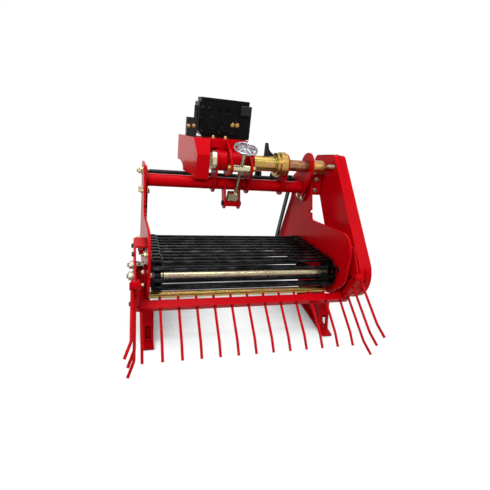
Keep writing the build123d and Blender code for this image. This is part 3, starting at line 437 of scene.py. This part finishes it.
# %% Chrome on a casting
def cast_chrome():
    """Bright chromium over a dimpled casting."""
    material, tree, shader, place = new_finish("chromium_plated_casting")
    dimple = add_node(tree, "TexNoise", {"Scale": per(7), "Detail": 3.0}, Vector=place)
    colour = add_node(tree, "ValToRGB", None, Fac=dimple.outputs["Fac"])
    colour.color_ramp.elements[0].color = srgb("#55535A")
    colour.color_ramp.elements[1].color = srgb("#BFBDC4")
    tree.links.new(colour.outputs["Color"], shader.inputs["Base Color"])
    skin = add_node(tree, "Bump", {"Strength": 0.5, "Distance": 0.6 * MM}, Height=dimple.outputs["Fac"])
    tree.links.new(skin.outputs[0], shader.inputs["Normal"])
    clouded = add_node(tree, "MapRange", {"To Min": 0.06, "To Max": 0.18}, Value=dimple.outputs["Fac"])
    tree.links.new(clouded.outputs[0], shader.inputs["Roughness"])
    shader.inputs["Metallic"].default_value = 1.0
    return material


CHROME = cast_chrome()
print(CHROME.name)

# %% [markdown]
# Share steel: the blade is hard plate that the soil grinds bright at the points, while its rear edge still
# has the dark skin from the rolling mill. The grinding runs front to back, so the scratches are a noise
# stretched along the machine: 120 mm long and 1.5 mm apart.

# %% Ground share steel
def share_steel():
    """Plate steel, bright at the points and dark behind, scratched from front to back."""
    material, tree, shader, place = new_finish("ground_share_steel")
    low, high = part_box("share_blade")
    stretch = add_node(tree, "Mapping", {"Scale": (per(1.5), per(120), per(30))}, Vector=place)
    scratch = add_node(tree, "TexNoise", {"Scale": 1.0, "Detail": 4.0}, Vector=stretch.outputs[0])
    split = add_node(tree, "SeparateXYZ", None, Vector=place)
    ground = add_node(tree, "MapRange", {"From Min": low.y + 0.01, "From Max": high.y - 0.03},
                      Value=split.outputs["Y"])
    worn = add_node(tree, "Math", {"operation": "MULTIPLY_ADD", "_1": 0.6}, _0=scratch.outputs["Fac"],
                    _2=ground.outputs[0])
    colour = add_node(tree, "ValToRGB", None, Fac=worn.outputs[0])
    colour.color_ramp.elements[0].position = 0.35
    colour.color_ramp.elements[0].color = srgb("#4E4A46")
    colour.color_ramp.elements[1].position = 1.0
    colour.color_ramp.elements[1].color = srgb("#C3C0BA")
    tree.links.new(colour.outputs["Color"], shader.inputs["Base Color"])
    groove = add_node(tree, "Bump", {"Strength": 0.3, "Distance": 0.1 * MM}, Height=scratch.outputs["Fac"])
    tree.links.new(groove.outputs[0], shader.inputs["Normal"])
    dull = add_node(tree, "MapRange", {"To Min": 0.48, "To Max": 0.28}, Value=worn.outputs[0])
    tree.links.new(dull.outputs[0], shader.inputs["Roughness"])
    shader.inputs["Metallic"].default_value = 1.0
    return material


SHARE_STEEL = share_steel()
print(SHARE_STEEL.name)

# %% [markdown]
# The CAD nodes whose shape is right are kept and only painted. Each already names the finish it takes, so
# most follow from one table, and the few that differ are given by name.

# %% Paint the CAD nodes
FINISHES = {
    "red_paint": RED,
    "black_paint": BLACK,
    "yellow_zinc": YELLOW_ZINC,
    "dull_zinc": DULL_ZINC,
    "chain_steel": BLACK_STEEL,
    "chrome": CHROME,
}
OWN_FINISH = {
    "gearbox": CAST_BLACK,
    "hitch_box": POLISHED_RED,
    "cross_tube": YELLOW_ZINC,
    "share_blade": SHARE_STEEL,
    "rear_sprockets": BLACK_STEEL,
    "front_rollers": BLACK_STEEL,
}
for name in ("rear_shaft", "front_shaft", "upper_trunnion", "depth_screw", "left_disc"):
    OWN_FINISH[name] = PALE_ZINC
for entry in frame["record"]["subparts"]:
    finish = OWN_FINISH.get(entry["node"], FINISHES[entry["material_slot"]])
    for material_slot in nodes[entry["node"]].material_slots:
        material_slot.material = finish

# %% [markdown]
# ## Making pieces
# Most small parts of a machine are either turned or cut from plate, so two helpers make nearly all of
# them in a bmesh: one turns a profile round an axis, as a lathe does, and one gives an outline a
# thickness. A third draws a round bar along a line of points. Many forms of the same body and finish go
# into one mesh, which becomes one piece when it is done.

# %% Turn, cut and bend
def turn(form, seat, out, profile, sides=24):
    """Turns a profile of (along, radius) pairs in millimetres round the axis out, starting at seat."""
    out = out.normalized()
    across = out.orthogonal().normalized()
    beyond = out.cross(across)
    rings = []
    for along, radius in profile:
        middle = seat + out * (along * MM)
        if radius == 0:
            rings.append([form.verts.new(middle)] * sides)
            continue
        turned = [2 * math.pi * k / sides for k in range(sides)]
        rings.append([form.verts.new(middle + (across * math.cos(a) + beyond * math.sin(a)) * (radius * MM))
                      for a in turned])
    for one, two in zip(rings, rings[1:]):
        for k in range(sides):
            ring = [one[k - 1], one[k], two[k], two[k - 1]]
            form.faces.new([v for i, v in enumerate(ring) if v not in ring[:i]])


def cut(form, outline, thick):
    """A plate with this outline, whose thickness is the vector thick."""
    low = [form.verts.new(point) for point in outline]
    high = [form.verts.new(point + thick) for point in outline]
    form.faces.new(low)
    form.faces.new(high)
    for k in range(len(outline)):
        form.faces.new([low[k - 1], low[k], high[k], high[k - 1]])


def bend(form, points, radii, sides=12):
    """A round bar through these points. Radii gives its radius at each point, in millimetres."""
    rings = []
    across = (points[1] - points[0]).normalized().orthogonal().normalized()
    for k, point in enumerate(points):
        before = points[max(k - 1, 0)]
        after = points[min(k + 1, len(points) - 1)]
        along = (after - before).normalized()
        across = (across - along * across.dot(along)).normalized()
        beyond = along.cross(across)
        turned = [2 * math.pi * j / sides for j in range(sides)]
        rings.append([form.verts.new(point + (across * math.cos(a) + beyond * math.sin(a)) * (radii[k] * MM))
                      for a in turned])
    for one, two in zip(rings, rings[1:]):
        for k in range(sides):
            form.faces.new([one[k - 1], one[k], two[k], two[k - 1]])
    form.faces.new(rings[0])
    form.faces.new(rings[-1])


def piece(name, body, material, form):
    """Closes a mesh into a piece that rides on a body."""
    bmesh.ops.recalc_face_normals(form, faces=form.faces)
    mesh = bpy.data.meshes.new(name)
    form.to_mesh(mesh)
    form.free()
    mesh.polygons.foreach_set("use_smooth", [True] * len(mesh.polygons))
    mesh.set_sharp_from_angle(angle=math.radians(32))
    mesh.materials.append(material)
    made = bpy.data.objects.new(name, mesh)
    bpy.context.scene.collection.objects.link(made)
    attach(made, body)
    print(name, "rides on", body, "with", len(mesh.polygons), "faces")
    return made


print("helpers ready")

# %% [markdown]
# A bolt is drawn from its thread size, as in a fastener table: the head is 1.6 threads wide across its
# flats and 0.65 high, a nut 0.85 high, and the washer a little over twice the thread across. The head's
# corners are turned off at 30 degrees, which is the bright ring that a real one shows. Where a stud comes
# through its nut, the thread is a row of 1.5 mm ridges.

# %% Bolts and nuts
def washer(form, seat, out, thread):
    """A plain washer. Returns the point on top of it."""
    turn(form, seat, out, [(-0.3, 0), (-0.3, 1.1 * thread), (0.17 * thread, 1.1 * thread),
                           (0.2 * thread, 1.06 * thread), (0.2 * thread, 0)])
    return seat + out * (0.2 * thread * MM)


def hexagon(form, seat, out, thread, high):
    """A hexagon head with its corners turned off."""
    wide = 0.93 * thread
    turn(form, seat, out,
         [(0, 0), (0, wide), (high - 0.14 * thread, wide), (high, 0.83 * wide), (high, 0)], 6)


def bolt(form, seat, out, thread, stud=0.0):
    """A washer with a bolt's head on it, or with a nut and the stud's end where stud has a length."""
    top = washer(form, seat, out, thread)
    high = (0.85 if stud else 0.65) * thread
    hexagon(form, top, out, thread, high)
    if stud:
        ridges = [(0.0, 0.0), (0.0, 0.44 * thread)]
        for k in range(int(stud / 1.5)):
            ridges += [(high + 1.5 * k + 0.75, 0.5 * thread), (high + 1.5 * k + 1.5, 0.43 * thread)]
        turn(form, top, out, ridges + [(high + stud, 0.4 * thread), (high + stud, 0)], 16)


def dome(form, seat, out, thread, wide=1.0):
    """The low round head of a carriage bolt or a rivet."""
    wide = wide * thread
    turn(form, seat, out, [(-0.3, 0), (-0.3, wide), (0.1 * wide, wide), (0.35 * wide, 0.78 * wide),
                           (0.5 * wide, 0.4 * wide), (0.54 * wide, 0)], 20)


print("an M10 head is", round(1.6 * 10), "mm across its flats")

# %% [markdown]
# The frame's bolts: the beam's flanges, the tie bar's ends, the strap feet, the bearing flanges, the comb
# brackets, the skids and the lower tube. They are listed once for one side, as (distance from the middle
# plane, u, w, outwards or inwards, thread, stud), and mirrored for the other. The round heads inside the
# side plates are blackened.

# %% Frame bolts
FRAME_BOLTS = (
    (344, 409, 390, 1, 10, 7), (344, 374, 312, 1, 10, 7), (344, 418, 316, 1, 10, 7),
    (328, 409, 390, -1, 10, 0), (328, 374, 312, -1, 10, 0), (328, 418, 316, -1, 10, 0),
    (344, 505, 371, 1, 14, 6), (344, 595, 54, 1, 12, 6), (318, 595, 54, -1, 12, 0), (344, 78, 14, 1, 12, 6),
    (352, 36, 72, 1, 8, 4), (352, 80, 72, 1, 8, 4), (352, 80, 116, 1, 8, 4), (352, 36, 116, 1, 8, 4),
    (344, 30, 176, 1, 10, 6), (344, 96, 176, 1, 10, 6), (344, 110, 48, 1, 10, 6),
    (344, 150, 22, 1, 8, 5), (344, 230, 26, 1, 8, 5),
)
form = bmesh.new()
for hand in (-1, 1):
    for x, u, w, way, thread, stud in FRAME_BOLTS:
        bolt(form, at(hand * x, u, w), RIGHT * (hand * way), thread, stud)
piece("frame_bolts", "frame", PALE_ZINC, form)

form = bmesh.new()
for hand in (-1, 1):
    for u, w in ((12, 121), (36, 72), (80, 72), (80, 116), (36, 116), (110, 48), (150, 22), (230, 26)):
        dome(form, at(hand * 336, u, w), RIGHT * -hand, 9)
piece("frame_bolt_heads", "frame", BLACK_STEEL, form)

# %% [markdown]
# The left end of the rear shaft comes through the comb's bracket and is held there by a big nut. A second
# stud over it carries the chain's tightener. On the right the same places are inside the guard, and the
# comb's arm has a bolt on the left only, since the guard stands too close to the right one.

# %% Shaft-end nuts
form = bmesh.new()
bolt(form, at(-383, 58, 94), -RIGHT, 16, 5)
bolt(form, at(-383, 60, 131), -RIGHT, 14, 5)
bolt(form, at(-377, 60, 131), RIGHT, 14, 0)
turn(form, at(-352, 60, 131), -RIGHT, [(0, 0), (0, 9), (17, 9), (17, 0)])
bolt(form, at(-352, 60, 131), -RIGHT, 12, 2)
bolt(form, at(397, 276, 461), -RIGHT, 10, 6)
bolt(form, at(397, 293, 461), -RIGHT, 10, 6)
bolt(form, at(397, 366, 392), -RIGHT, 10, 5)
for x, w in ((370, 398), (370, 352)):
    bolt(form, at(x, 351, w), -FORWARD, 9, 4)
piece("shaft_end_nuts", "frame", DULL_ZINC, form)

form = bmesh.new()
for hand in (-1, 1):
    bolt(form, at(hand * 383, 20, 182), RIGHT * hand, 8, 0)
    bolt(form, at(hand * 383, 96, 184), RIGHT * hand, 8, 0)
    hexagon(form, at(hand * 352, 346, 94), RIGHT * hand, 20, 9)
piece("black_bolts", "frame", BLACK, form)

form = bmesh.new()
bolt(form, at(-391, 0, 23), -RIGHT, 8, 0)
piece("comb_arm_bolt", "comb", BLACK, form)

# %% [markdown]
# The clevis pivot and the upper trunnion are pins, closed by a head on the left and a nut on the right.
# The pivot's nuts are blackened. The trunnion's turn with it, so they ride on its body.

# %% Pins of the depth screw
pivot = at(-1, 339, 284)
form = bmesh.new()
for hand in (-1, 1):
    hexagon(form, pivot + RIGHT * (hand * 33.3 * MM), RIGHT * hand, 12, 7)
piece("clevis_nuts", "frame", BLACK, form)

trunnion_low, trunnion_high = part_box("upper_trunnion")
trunnion = (trunnion_low + trunnion_high) / 2
form = bmesh.new()
bolt(form, trunnion - RIGHT * (42.8 * MM), -RIGHT, 12, 0)
bolt(form, trunnion + RIGHT * (42.8 * MM), RIGHT, 12, 4)
piece("trunnion_nuts", "trunnion", YELLOW_ZINC, form)

# %% [markdown]
# The rod conveyor is two chains with a steel rod across them at every link. A link is a pair of flat side
# plates with round ends, inner and outer ones by turns, and on every rod sits a block that the
# sprocket pushes. Drawing each link shows the ladder of small windows that the eye looks for, so this
# piece stands for the plain CAD loop. The loop runs 288 mm between two shafts, 46 mm out from each.

# %% Where the rods are
REAR, FRONT, HEIGHT, ROUND = 58.0, 346.0, 94.0, 46.0
RODS = 27
RUN = FRONT - REAR
LOOP = 2 * RUN + 2 * math.pi * ROUND
PITCH = LOOP / RODS


def on_loop(run):
    """The place after this run from the top of the rear shaft, as (u, w) and the turn of the chain there."""
    arc = math.pi * ROUND
    run = run % LOOP
    if run < RUN:
        return REAR + run, HEIGHT + ROUND, 0.0
    if run < RUN + arc:
        angle = (run - RUN) / ROUND
        return FRONT + ROUND * math.sin(angle), HEIGHT + ROUND * math.cos(angle), -angle
    if run < 2 * RUN + arc:
        return FRONT - (run - RUN - arc), HEIGHT - ROUND, math.pi
    angle = (run - 2 * RUN - arc) / ROUND
    return REAR - ROUND * math.sin(angle), HEIGHT - ROUND * math.cos(angle), math.pi - angle


rods = [on_loop((k + 0.875) * PITCH) for k in range(RODS)]
print("rod pitch", round(PITCH, 2), "mm")

# %% Links, blocks and rods
def link_plate(form, x, thick, here, after):
    """One flat link with round ends, from rod to rod."""
    along = math.atan2(after[1] - here[1], after[0] - here[0])
    outline = []
    for (u, w, _), start in ((after, along - math.pi / 2), (here, along + math.pi / 2)):
        for k in range(7):
            angle = start + math.pi * k / 6
            outline.append(at(x, u + 7.2 * math.cos(angle), w + 7.2 * math.sin(angle)))
    cut(form, outline, RIGHT * (thick * MM))


def chain_block(form, x, rod):
    """The block on a rod: a wedge, narrower on top, that stands out of the chain."""
    u, w, angle = rod
    outline = []
    for along, out in ((-6.5, -4.5), (6.5, -4.5), (6.5, 4.0), (4.5, 7.5), (-4.5, 7.5), (-6.5, 4.0)):
        outline.append(at(x - 11.5, u + along * math.cos(angle) - out * math.sin(angle),
                          w + along * math.sin(angle) + out * math.cos(angle)))
    cut(form, outline, RIGHT * (23 * MM))


form = bmesh.new()
for k, here in enumerate(rods):
    after = rods[(k + 1) % RODS]
    for middle in (-309, 309):
        near, far = (12.2, 14.7) if k % 2 else (14.8, 17.3)
        link_plate(form, middle + near, far - near, here, after)
        link_plate(form, middle - far, far - near, here, after)
        chain_block(form, middle, here)
        for hand in (-1, 1):
            dome(form, at(middle + hand * 17.3, here[0], here[1]), RIGHT * hand, 5.2)
    turn(form, at(-326, here[0], here[1]), RIGHT, [(0, 0), (0, 5), (652, 5), (652, 0)], 20)
chain = piece("rods_and_chains", "frame", BLACK_STEEL, form)
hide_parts("rod_conveyor")

# %% [markdown]
# The handwheel is a small plated casting: a rounded rim, a dished disc with a hub, and between them five
# groups of six thin bars with an opening after each. Five ribs run out from the hub, with small bosses
# cast on the disc. Its axis is the screw's, from the clevis pivot to the upper trunnion.

# %% Handwheel
screw_way = trunnion - pivot
screw_way.x = 0
screw_way.normalize()
wheel_low, wheel_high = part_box("handwheel")
wheel_middle = (wheel_low + wheel_high) / 2
beyond_wheel = screw_way.cross(RIGHT)


def on_wheel(radius, angle, up):
    """A point of the wheel: radius and up in millimetres, angle in turns."""
    spin = 2 * math.pi * angle
    return (wheel_middle + (RIGHT * math.cos(spin) + beyond_wheel * math.sin(spin)) * (radius * MM)
            + screw_way * (up * MM))


def wheel_ring(form, section, sides=60):
    """A closed ring with this section of (radius, up) pairs."""
    rings = [[form.verts.new(on_wheel(radius, k / sides, up)) for radius, up in section]
             for k in range(sides)]
    for k in range(sides):
        for j in range(len(section)):
            form.faces.new([rings[k - 1][j - 1], rings[k - 1][j], rings[k][j], rings[k][j - 1]])


BAR_TURN = 0.0215
form = bmesh.new()
rim = [(41.5 + 4.3 * math.cos(2 * math.pi * k / 12), 4.3 * math.sin(2 * math.pi * k / 12)) for k in range(12)]
wheel_ring(form, rim)
wheel_ring(form, [(30, -2.4), (30, 1.0), (24, 2.2), (13, 3.0), (0.5, 3.0), (0.5, -3.0), (24, -3.0)])
for k in range(5):
    for j in range(6):
        start = (k - 0.075 + j * 0.025) / 5
        corners = [on_wheel(radius, start + side * BAR_TURN / 2, -2)
                   for radius, side in ((29, -1), (38.5, -1), (38.5, 1), (29, 1))]
        cut(form, corners, screw_way * ((3.2 + (j % 2) * 0.8) * MM))
    bend(form, [on_wheel(r, k / 5, up) for r, up in ((10, 3.2), (20, 3.0), (30, 2.0), (38, 1.6))],
         [3.2, 2.8, 2.4, 2.2], 8)
    for j, (radius, size) in enumerate(((17, 2.6), (23, 2.2), (33, 1.8))):
        dome(form, on_wheel(radius, (k + 0.5 + 0.08 * j) / 5, 2.2), screw_way, size)
turn(form, wheel_middle - screw_way * (4 * MM), screw_way,
     [(0, 0), (0, 12), (7, 12), (8.4, 10.5), (8.4, 0)], 32)
wheel = piece("cast_handwheel", "screw", CHROME, form)
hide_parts("handwheel")

# %% [markdown]
# The gearbox shows its cast cover: a raised flange with blackened bolts round it, three round bosses for
# bearing caps, and ribs. They stand a few millimetres out of the plain housing, in the same cast black.
# The smoother block at the top right is a separate cover. Zinc nuts hold the base plate and the post.

# %% Gearbox cover
def head_plate(form, outline, ahead, thick):
    """A plate on the gearbox's rear face, from (x, above) corners. Thick is how far it stands out."""
    cut(form, [at_head(x, ahead, above) for x, above in outline], HEAD_FORWARD * (-thick * MM))


COVER_REAR = 72.5
COVER_BOLTS = ((-128, 100), (-60, 98), (-6, 100), (-128, 186), (-62, 186), (-6, 186), (-128, 146), (6, 146),
               (-104, 186), (-30, 186))
form = bmesh.new()
head_plate(form, ((-134, 92), (12, 92), (12, 194), (-122, 194), (-134, 182)), COVER_REAR, 4.0)
head_plate(form, ((18, 164), (66, 164), (66, 200), (18, 200)), COVER_REAR, 5.0)
head_plate(form, ((18, 92), (30, 92), (30, 158), (18, 158)), COVER_REAR, 3.0)
for x, above, wide in ((-88, 130, 27), (-30, 150, 24), (-35, 112, 15)):
    turn(form, at_head(x, 69, above), -HEAD_FORWARD, [(0, 0), (0, wide), (3, wide), (4.5, wide - 2),
                                                      (4.5, wide - 8), (2.5, wide - 9.5), (2.5, 0)], 36)
for x, above in COVER_BOLTS:
    turn(form, at_head(x, 69, above), -HEAD_FORWARD, [(0, 0), (0, 8), (3, 7.4), (3, 0)], 18)
for above in (90, 108):
    head_plate(form, ((44, above), (68, above), (68, above + 6), (44, above + 6)), COVER_REAR, 3.0)
for hand, x in ((-1, -140), (1, 72)):
    for ahead in (100, 130, 160):
        cut(form, [at_head(x, ahead, 80), at_head(x, ahead + 6, 80), at_head(x, ahead + 6, 190),
                   at_head(x, ahead, 190)], RIGHT * (hand * 4 * MM))
piece("gearbox_cover", "hitch_head", CAST_BLACK, form)

SMOOTH_BLOCK = ((73, 206), (62, 206), (60, 204), (60, 176), (61, 171), (64, 167), (68, 165), (73, 164))
form = bmesh.new()
cut(form, [at_head(22, ahead, above) for ahead, above in SMOOTH_BLOCK], RIGHT * (42 * MM))
piece("gearbox_breather_cover", "hitch_head", BLACK, form)

form = bmesh.new()
for x, above in COVER_BOLTS:
    hexagon(form, at_head(x, 66.2, above), -HEAD_FORWARD, 6, 4)
for x, above in ((22, 172), (22, 192)):
    hexagon(form, at_head(x, 67.6, above), -HEAD_FORWARD, 5, 4)
piece("gearbox_bolts", "hitch_head", BLACK_STEEL, form)

form = bmesh.new()
for x in (-6, 13):
    bolt(form, at_head(x, 70, 132), -HEAD_FORWARD, 8, 3)
for x, above in ((-181, 115), (-162, 117)):
    bolt(form, at_head(x, 50, above), -HEAD_FORWARD, 6, 2)
for x in (-84, -36):
    bolt(form, at_head(x, 48, 78), HEAD_UP, 8, 3)
piece("gearbox_zinc_nuts", "hitch_head", YELLOW_ZINC, form)

# %% [markdown]
# The folded box of the head has a row of small blackened screws down its left side, next to the fold. They
# hold the shield inside. That side leans out by 44 mm over its length of 94 mm.

# %% Head box
SIDE_LENGTH = 94
SIDE_LEAN = 44
form = bmesh.new()
side_out = (-RIGHT * SIDE_LENGTH - HEAD_FORWARD * SIDE_LEAN).normalized()
for k in range(6):
    ahead = -9 + 0.9 * k
    x = -166 - SIDE_LEAN / SIDE_LENGTH * (ahead - 8)
    dome(form, at_head(x, ahead, 20 - 12 * k), side_out, 2.4)
piece("box_screws", "hitch_head", BLACK, form)

# %% [markdown]
# Welds: where the brackets meet the beam, where the tines go through the comb's bar and where the arms
# end on it. A hand-laid bead is a row of overlapping ripples, some 4 mm apart, so each is a bent bar whose
# radius swells and shrinks along the way. They were painted over with the rest.

# %% Weld beads
def bead(form, points, wide, closed=False):
    """A weld bead along these points, its ripples a step apart."""
    fine = []
    for one, two in zip(points, points[1:]):
        steps = max(1, round((two - one).length / (1.6 * MM)))
        fine += [one + (two - one) * (k / steps) for k in range(steps)]
    fine.append(points[-1])
    radii = [wide * (0.80 + 0.25 * abs(math.sin(1.3 * k))) for k in range(len(fine))]
    bend(form, fine, radii, 7)


def round_bead(form, middle, out, radius, wide, begin=0.0, end=1.0):
    """A bead round a tube or a bar."""
    out = out.normalized()
    across = out.orthogonal().normalized()
    beyond = out.cross(across)
    turns = [2 * math.pi * (begin + (end - begin) * k / 36) for k in range(37)]
    bead(form, [middle + (across * math.cos(a) + beyond * math.sin(a)) * (radius * MM) for a in turns], wide)


form = bmesh.new()
for x in (-80.2, -71.8, 59.8, 68.2, 206.8, 215.2, 307.8, 316.2):
    round_bead(form, at(x, *BEAM), RIGHT, 24.6, 2.2)
for x in (-327.5, 327.5):
    round_bead(form, at(x, *BEAM), RIGHT, 24.8, 2.6)
for x in (-335.5, 335.5):
    round_bead(form, at(x, 78, 14), RIGHT, 12.6, 2.0)
for x in (-34.2, -26.8, 24.8, 32.2):
    round_bead(form, at(x, *BEAM), RIGHT, 24.6, 2.0)
piece("frame_welds", "frame", RED, form)

TINE_PITCH = 60
form = bmesh.new()
drop = math.radians(38.5)
tine_way = FORWARD * math.cos(drop) + UPWARD * math.sin(drop)
square = UPWARD * math.cos(drop) - FORWARD * math.sin(drop)
for k in range(13):
    for along in (-0.2, 27.2):
        round_bead(form, at((k - 6) * TINE_PITCH, 0, 0) + tine_way * (along * MM), tine_way, 5.0, 1.5)
for hand in (-1, 1):
    corner = at(hand * 367.2, 0, 0) + (tine_way + square) * (13.5 * MM)
    bead(form, [corner - tine_way * (25 * MM), corner - tine_way * (2 * MM)], 2.2)
piece("comb_welds", "comb", RED, form)

# %% [markdown]
# The comb's forks are wrapped at the back by a half sleeve, which keeps soil off the pin. It is a curved
# strip with rounded edges, 15 mm from the pin's middle, so the eye turns freely in it. The right one is
# narrower on its outer side and so keeps 5 mm off the guard.

# %% Sleeves round the comb's hinges
form = bmesh.new()
for hand, inner, outer in ((-1, -17, 17), (1, -17, 12.4)):
    section = [(hand * x, radius) for x, radius in (
        (inner, 15.4), (inner, 17.5), (inner + 2.5, 20), (outer - 2.5, 20), (outer, 17.5), (outer, 15.4))]
    rings = []
    for k in range(18):
        angle = math.radians(140 + 9.5 * k)
        rings.append([form.verts.new(at(hand * HINGE[0] + x, HINGE[1] + radius * math.cos(angle),
                                        HINGE[2] + radius * math.sin(angle))) for x, radius in section])
    for one, two in zip(rings, rings[1:]):
        for k in range(len(section)):
            form.faces.new([one[k - 1], one[k], two[k], two[k - 1]])
    form.faces.new(rings[0])
    form.faces.new(rings[-1])
piece("hinge_sleeves", "comb", RED, form)

# %% [markdown]
# The clutch: the sleeve slides under the collar, and spring rings and three grub screws hold it. The
# outer tube of the upper drive, between the third and fourth bracket, is plated a darker bronze.

# %% Clutch and tubes
form = bmesh.new()
turn(form, at(215.4, *DRIVE), RIGHT, [(0, 20), (0, 22.6), (92.2, 22.6), (92.2, 20)], 48)
piece("bronze_tube", "frame", BRONZE_ZINC, form)

form = bmesh.new()
turn(form, at(158, *DRIVE), RIGHT, [(0, 29), (0, 33), (2, 35), (6.5, 35), (6.5, 29)], 48)
for x in (185, 198):
    turn(form, at(x, *DRIVE), RIGHT,
         [(0, 48), (0, 49.2), (1.2, 50.2), (4.4, 50.2), (5.6, 49.2), (5.6, 48)], 56)
for k in range(3):
    angle = 2 * math.pi * (k / 3 + 0.08)
    way = FORWARD * math.sin(angle) + UPWARD * math.cos(angle)
    turn(form, at(192, *DRIVE) + way * (48.6 * MM), way,
         [(0, 0), (0, 3.6), (1.0, 3.6), (1.4, 3.0), (1.4, 1.6), (0.4, 1.5), (0.4, 0)], 6)
for x in (332, 366):
    turn(form, at(x, *DRIVE), RIGHT, [(0, 27.5), (0, 28.4), (1.5, 28.8), (3, 28.4), (3, 27.5)], 48)
piece("clutch_rings", "frame", YELLOW_ZINC, form)

# %% [markdown]
# Small black lugs stand along the tie bar. They carry the cable of the clutch and the shield's edge.

# %% Tie-bar lugs
form = bmesh.new()
for left, right, w, high in ((142, 174, 379, 26), (214, 238, 379, 16), (297, 326, 365, 24)):
    top = w + high
    cut(form, [at(left, 500, w), at(right, 500, w), at(right - 3, 500, top), at(left + 3, 500, top)],
        FORWARD * (6 * MM))
    turn(form, at((left + right) / 2, 499.7, w + high * 0.55), -FORWARD, [(0, 0), (0, 7), (5, 6), (6, 0)], 6)
for x in (150, 166, 226, 305, 318):
    turn(form, at(x, 505, 371), RIGHT, [(-4, 8), (-4, 11), (4, 11), (4, 8)], 24)
piece("tie_bar_lugs", "frame", BLACK, form)

# %% [markdown]
# The share's blade is held by plough bolts, whose flat heads sit flush in the plate, and by nuts below. The
# guard's cover is two half shells, and the joint between them is a narrow folded strip round the rim. The
# rim is three rounded corners, each given as (u, w, radius), with straight runs between them.

# %% Share bolts
tilt = math.radians(33.0)
share_down = Vector((0, math.cos(tilt), -math.sin(tilt)))
share_out = Vector((0, math.sin(tilt), math.cos(tilt)))
blade_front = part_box("share_blade")[1].y
tip = Vector((0, blade_front - 8 * math.sin(tilt) * MM, FLOOR))
form = bmesh.new()
for x in (-290, -175, -60, 60, 175, 290):
    seat = tip - share_down * (140 * MM) + RIGHT * (x * MM)
    turn(form, seat + share_out * (8 * MM), share_out,
         [(-0.5, 0), (-0.5, 10), (0.7, 10), (1.1, 9), (1.1, 0)], 28)
    bolt(form, seat - share_out * (8 * MM), -share_out, 10, 5)
piece("share_bolts", "frame", DULL_ZINC, form)

# %% Guard seam
RIM_CORNERS = ((58.0, 94.0, 95.0), (298.0, 478.0, 30.0), (417.0, 466.0, 30.0))


def rim_points(out):
    """Points round the guard's rim in (u, w), this far outside it."""
    points = []
    for k, (u, w, radius) in enumerate(RIM_CORNERS):
        before = RIM_CORNERS[k - 1]
        after = RIM_CORNERS[(k + 1) % 3]
        turned = []
        for (u1, w1, r1), (u2, w2, r2) in ((before, (u, w, radius)), ((u, w, radius), after)):
            along = math.atan2(w2 - w1, u2 - u1)
            turned.append(along + math.pi / 2 - math.asin((r2 - r1) / math.hypot(u2 - u1, w2 - w1)))
        begin, end = turned
        while end > begin:
            end -= 2 * math.pi
        steps = max(4, round((begin - end) * radius / 8))
        for j in range(steps + 1):
            angle = begin + (end - begin) * j / steps
            points.append((u + (radius + out) * math.cos(angle), w + (radius + out) * math.sin(angle)))
    return points


form = bmesh.new()
loops = [[form.verts.new(at(x, u, w)) for u, w in rim_points(out)]
         for out, x in ((-0.5, 421.0), (2.2, 421.2), (2.6, 422.5), (2.2, 423.8), (-0.5, 424.0))]
for one, two in zip(loops, loops[1:]):
    for k in range(len(one)):
        form.faces.new([one[k - 1], one[k], two[k], two[k - 1]])
piece("guard_seam", "frame", RED, form)
print("guard rim points:", len(rim_points(0)))

# %% [markdown]
# The last cell sets the view transform to Standard.

# %% Finish
bpy.context.scene.view_settings.view_transform = "Standard"
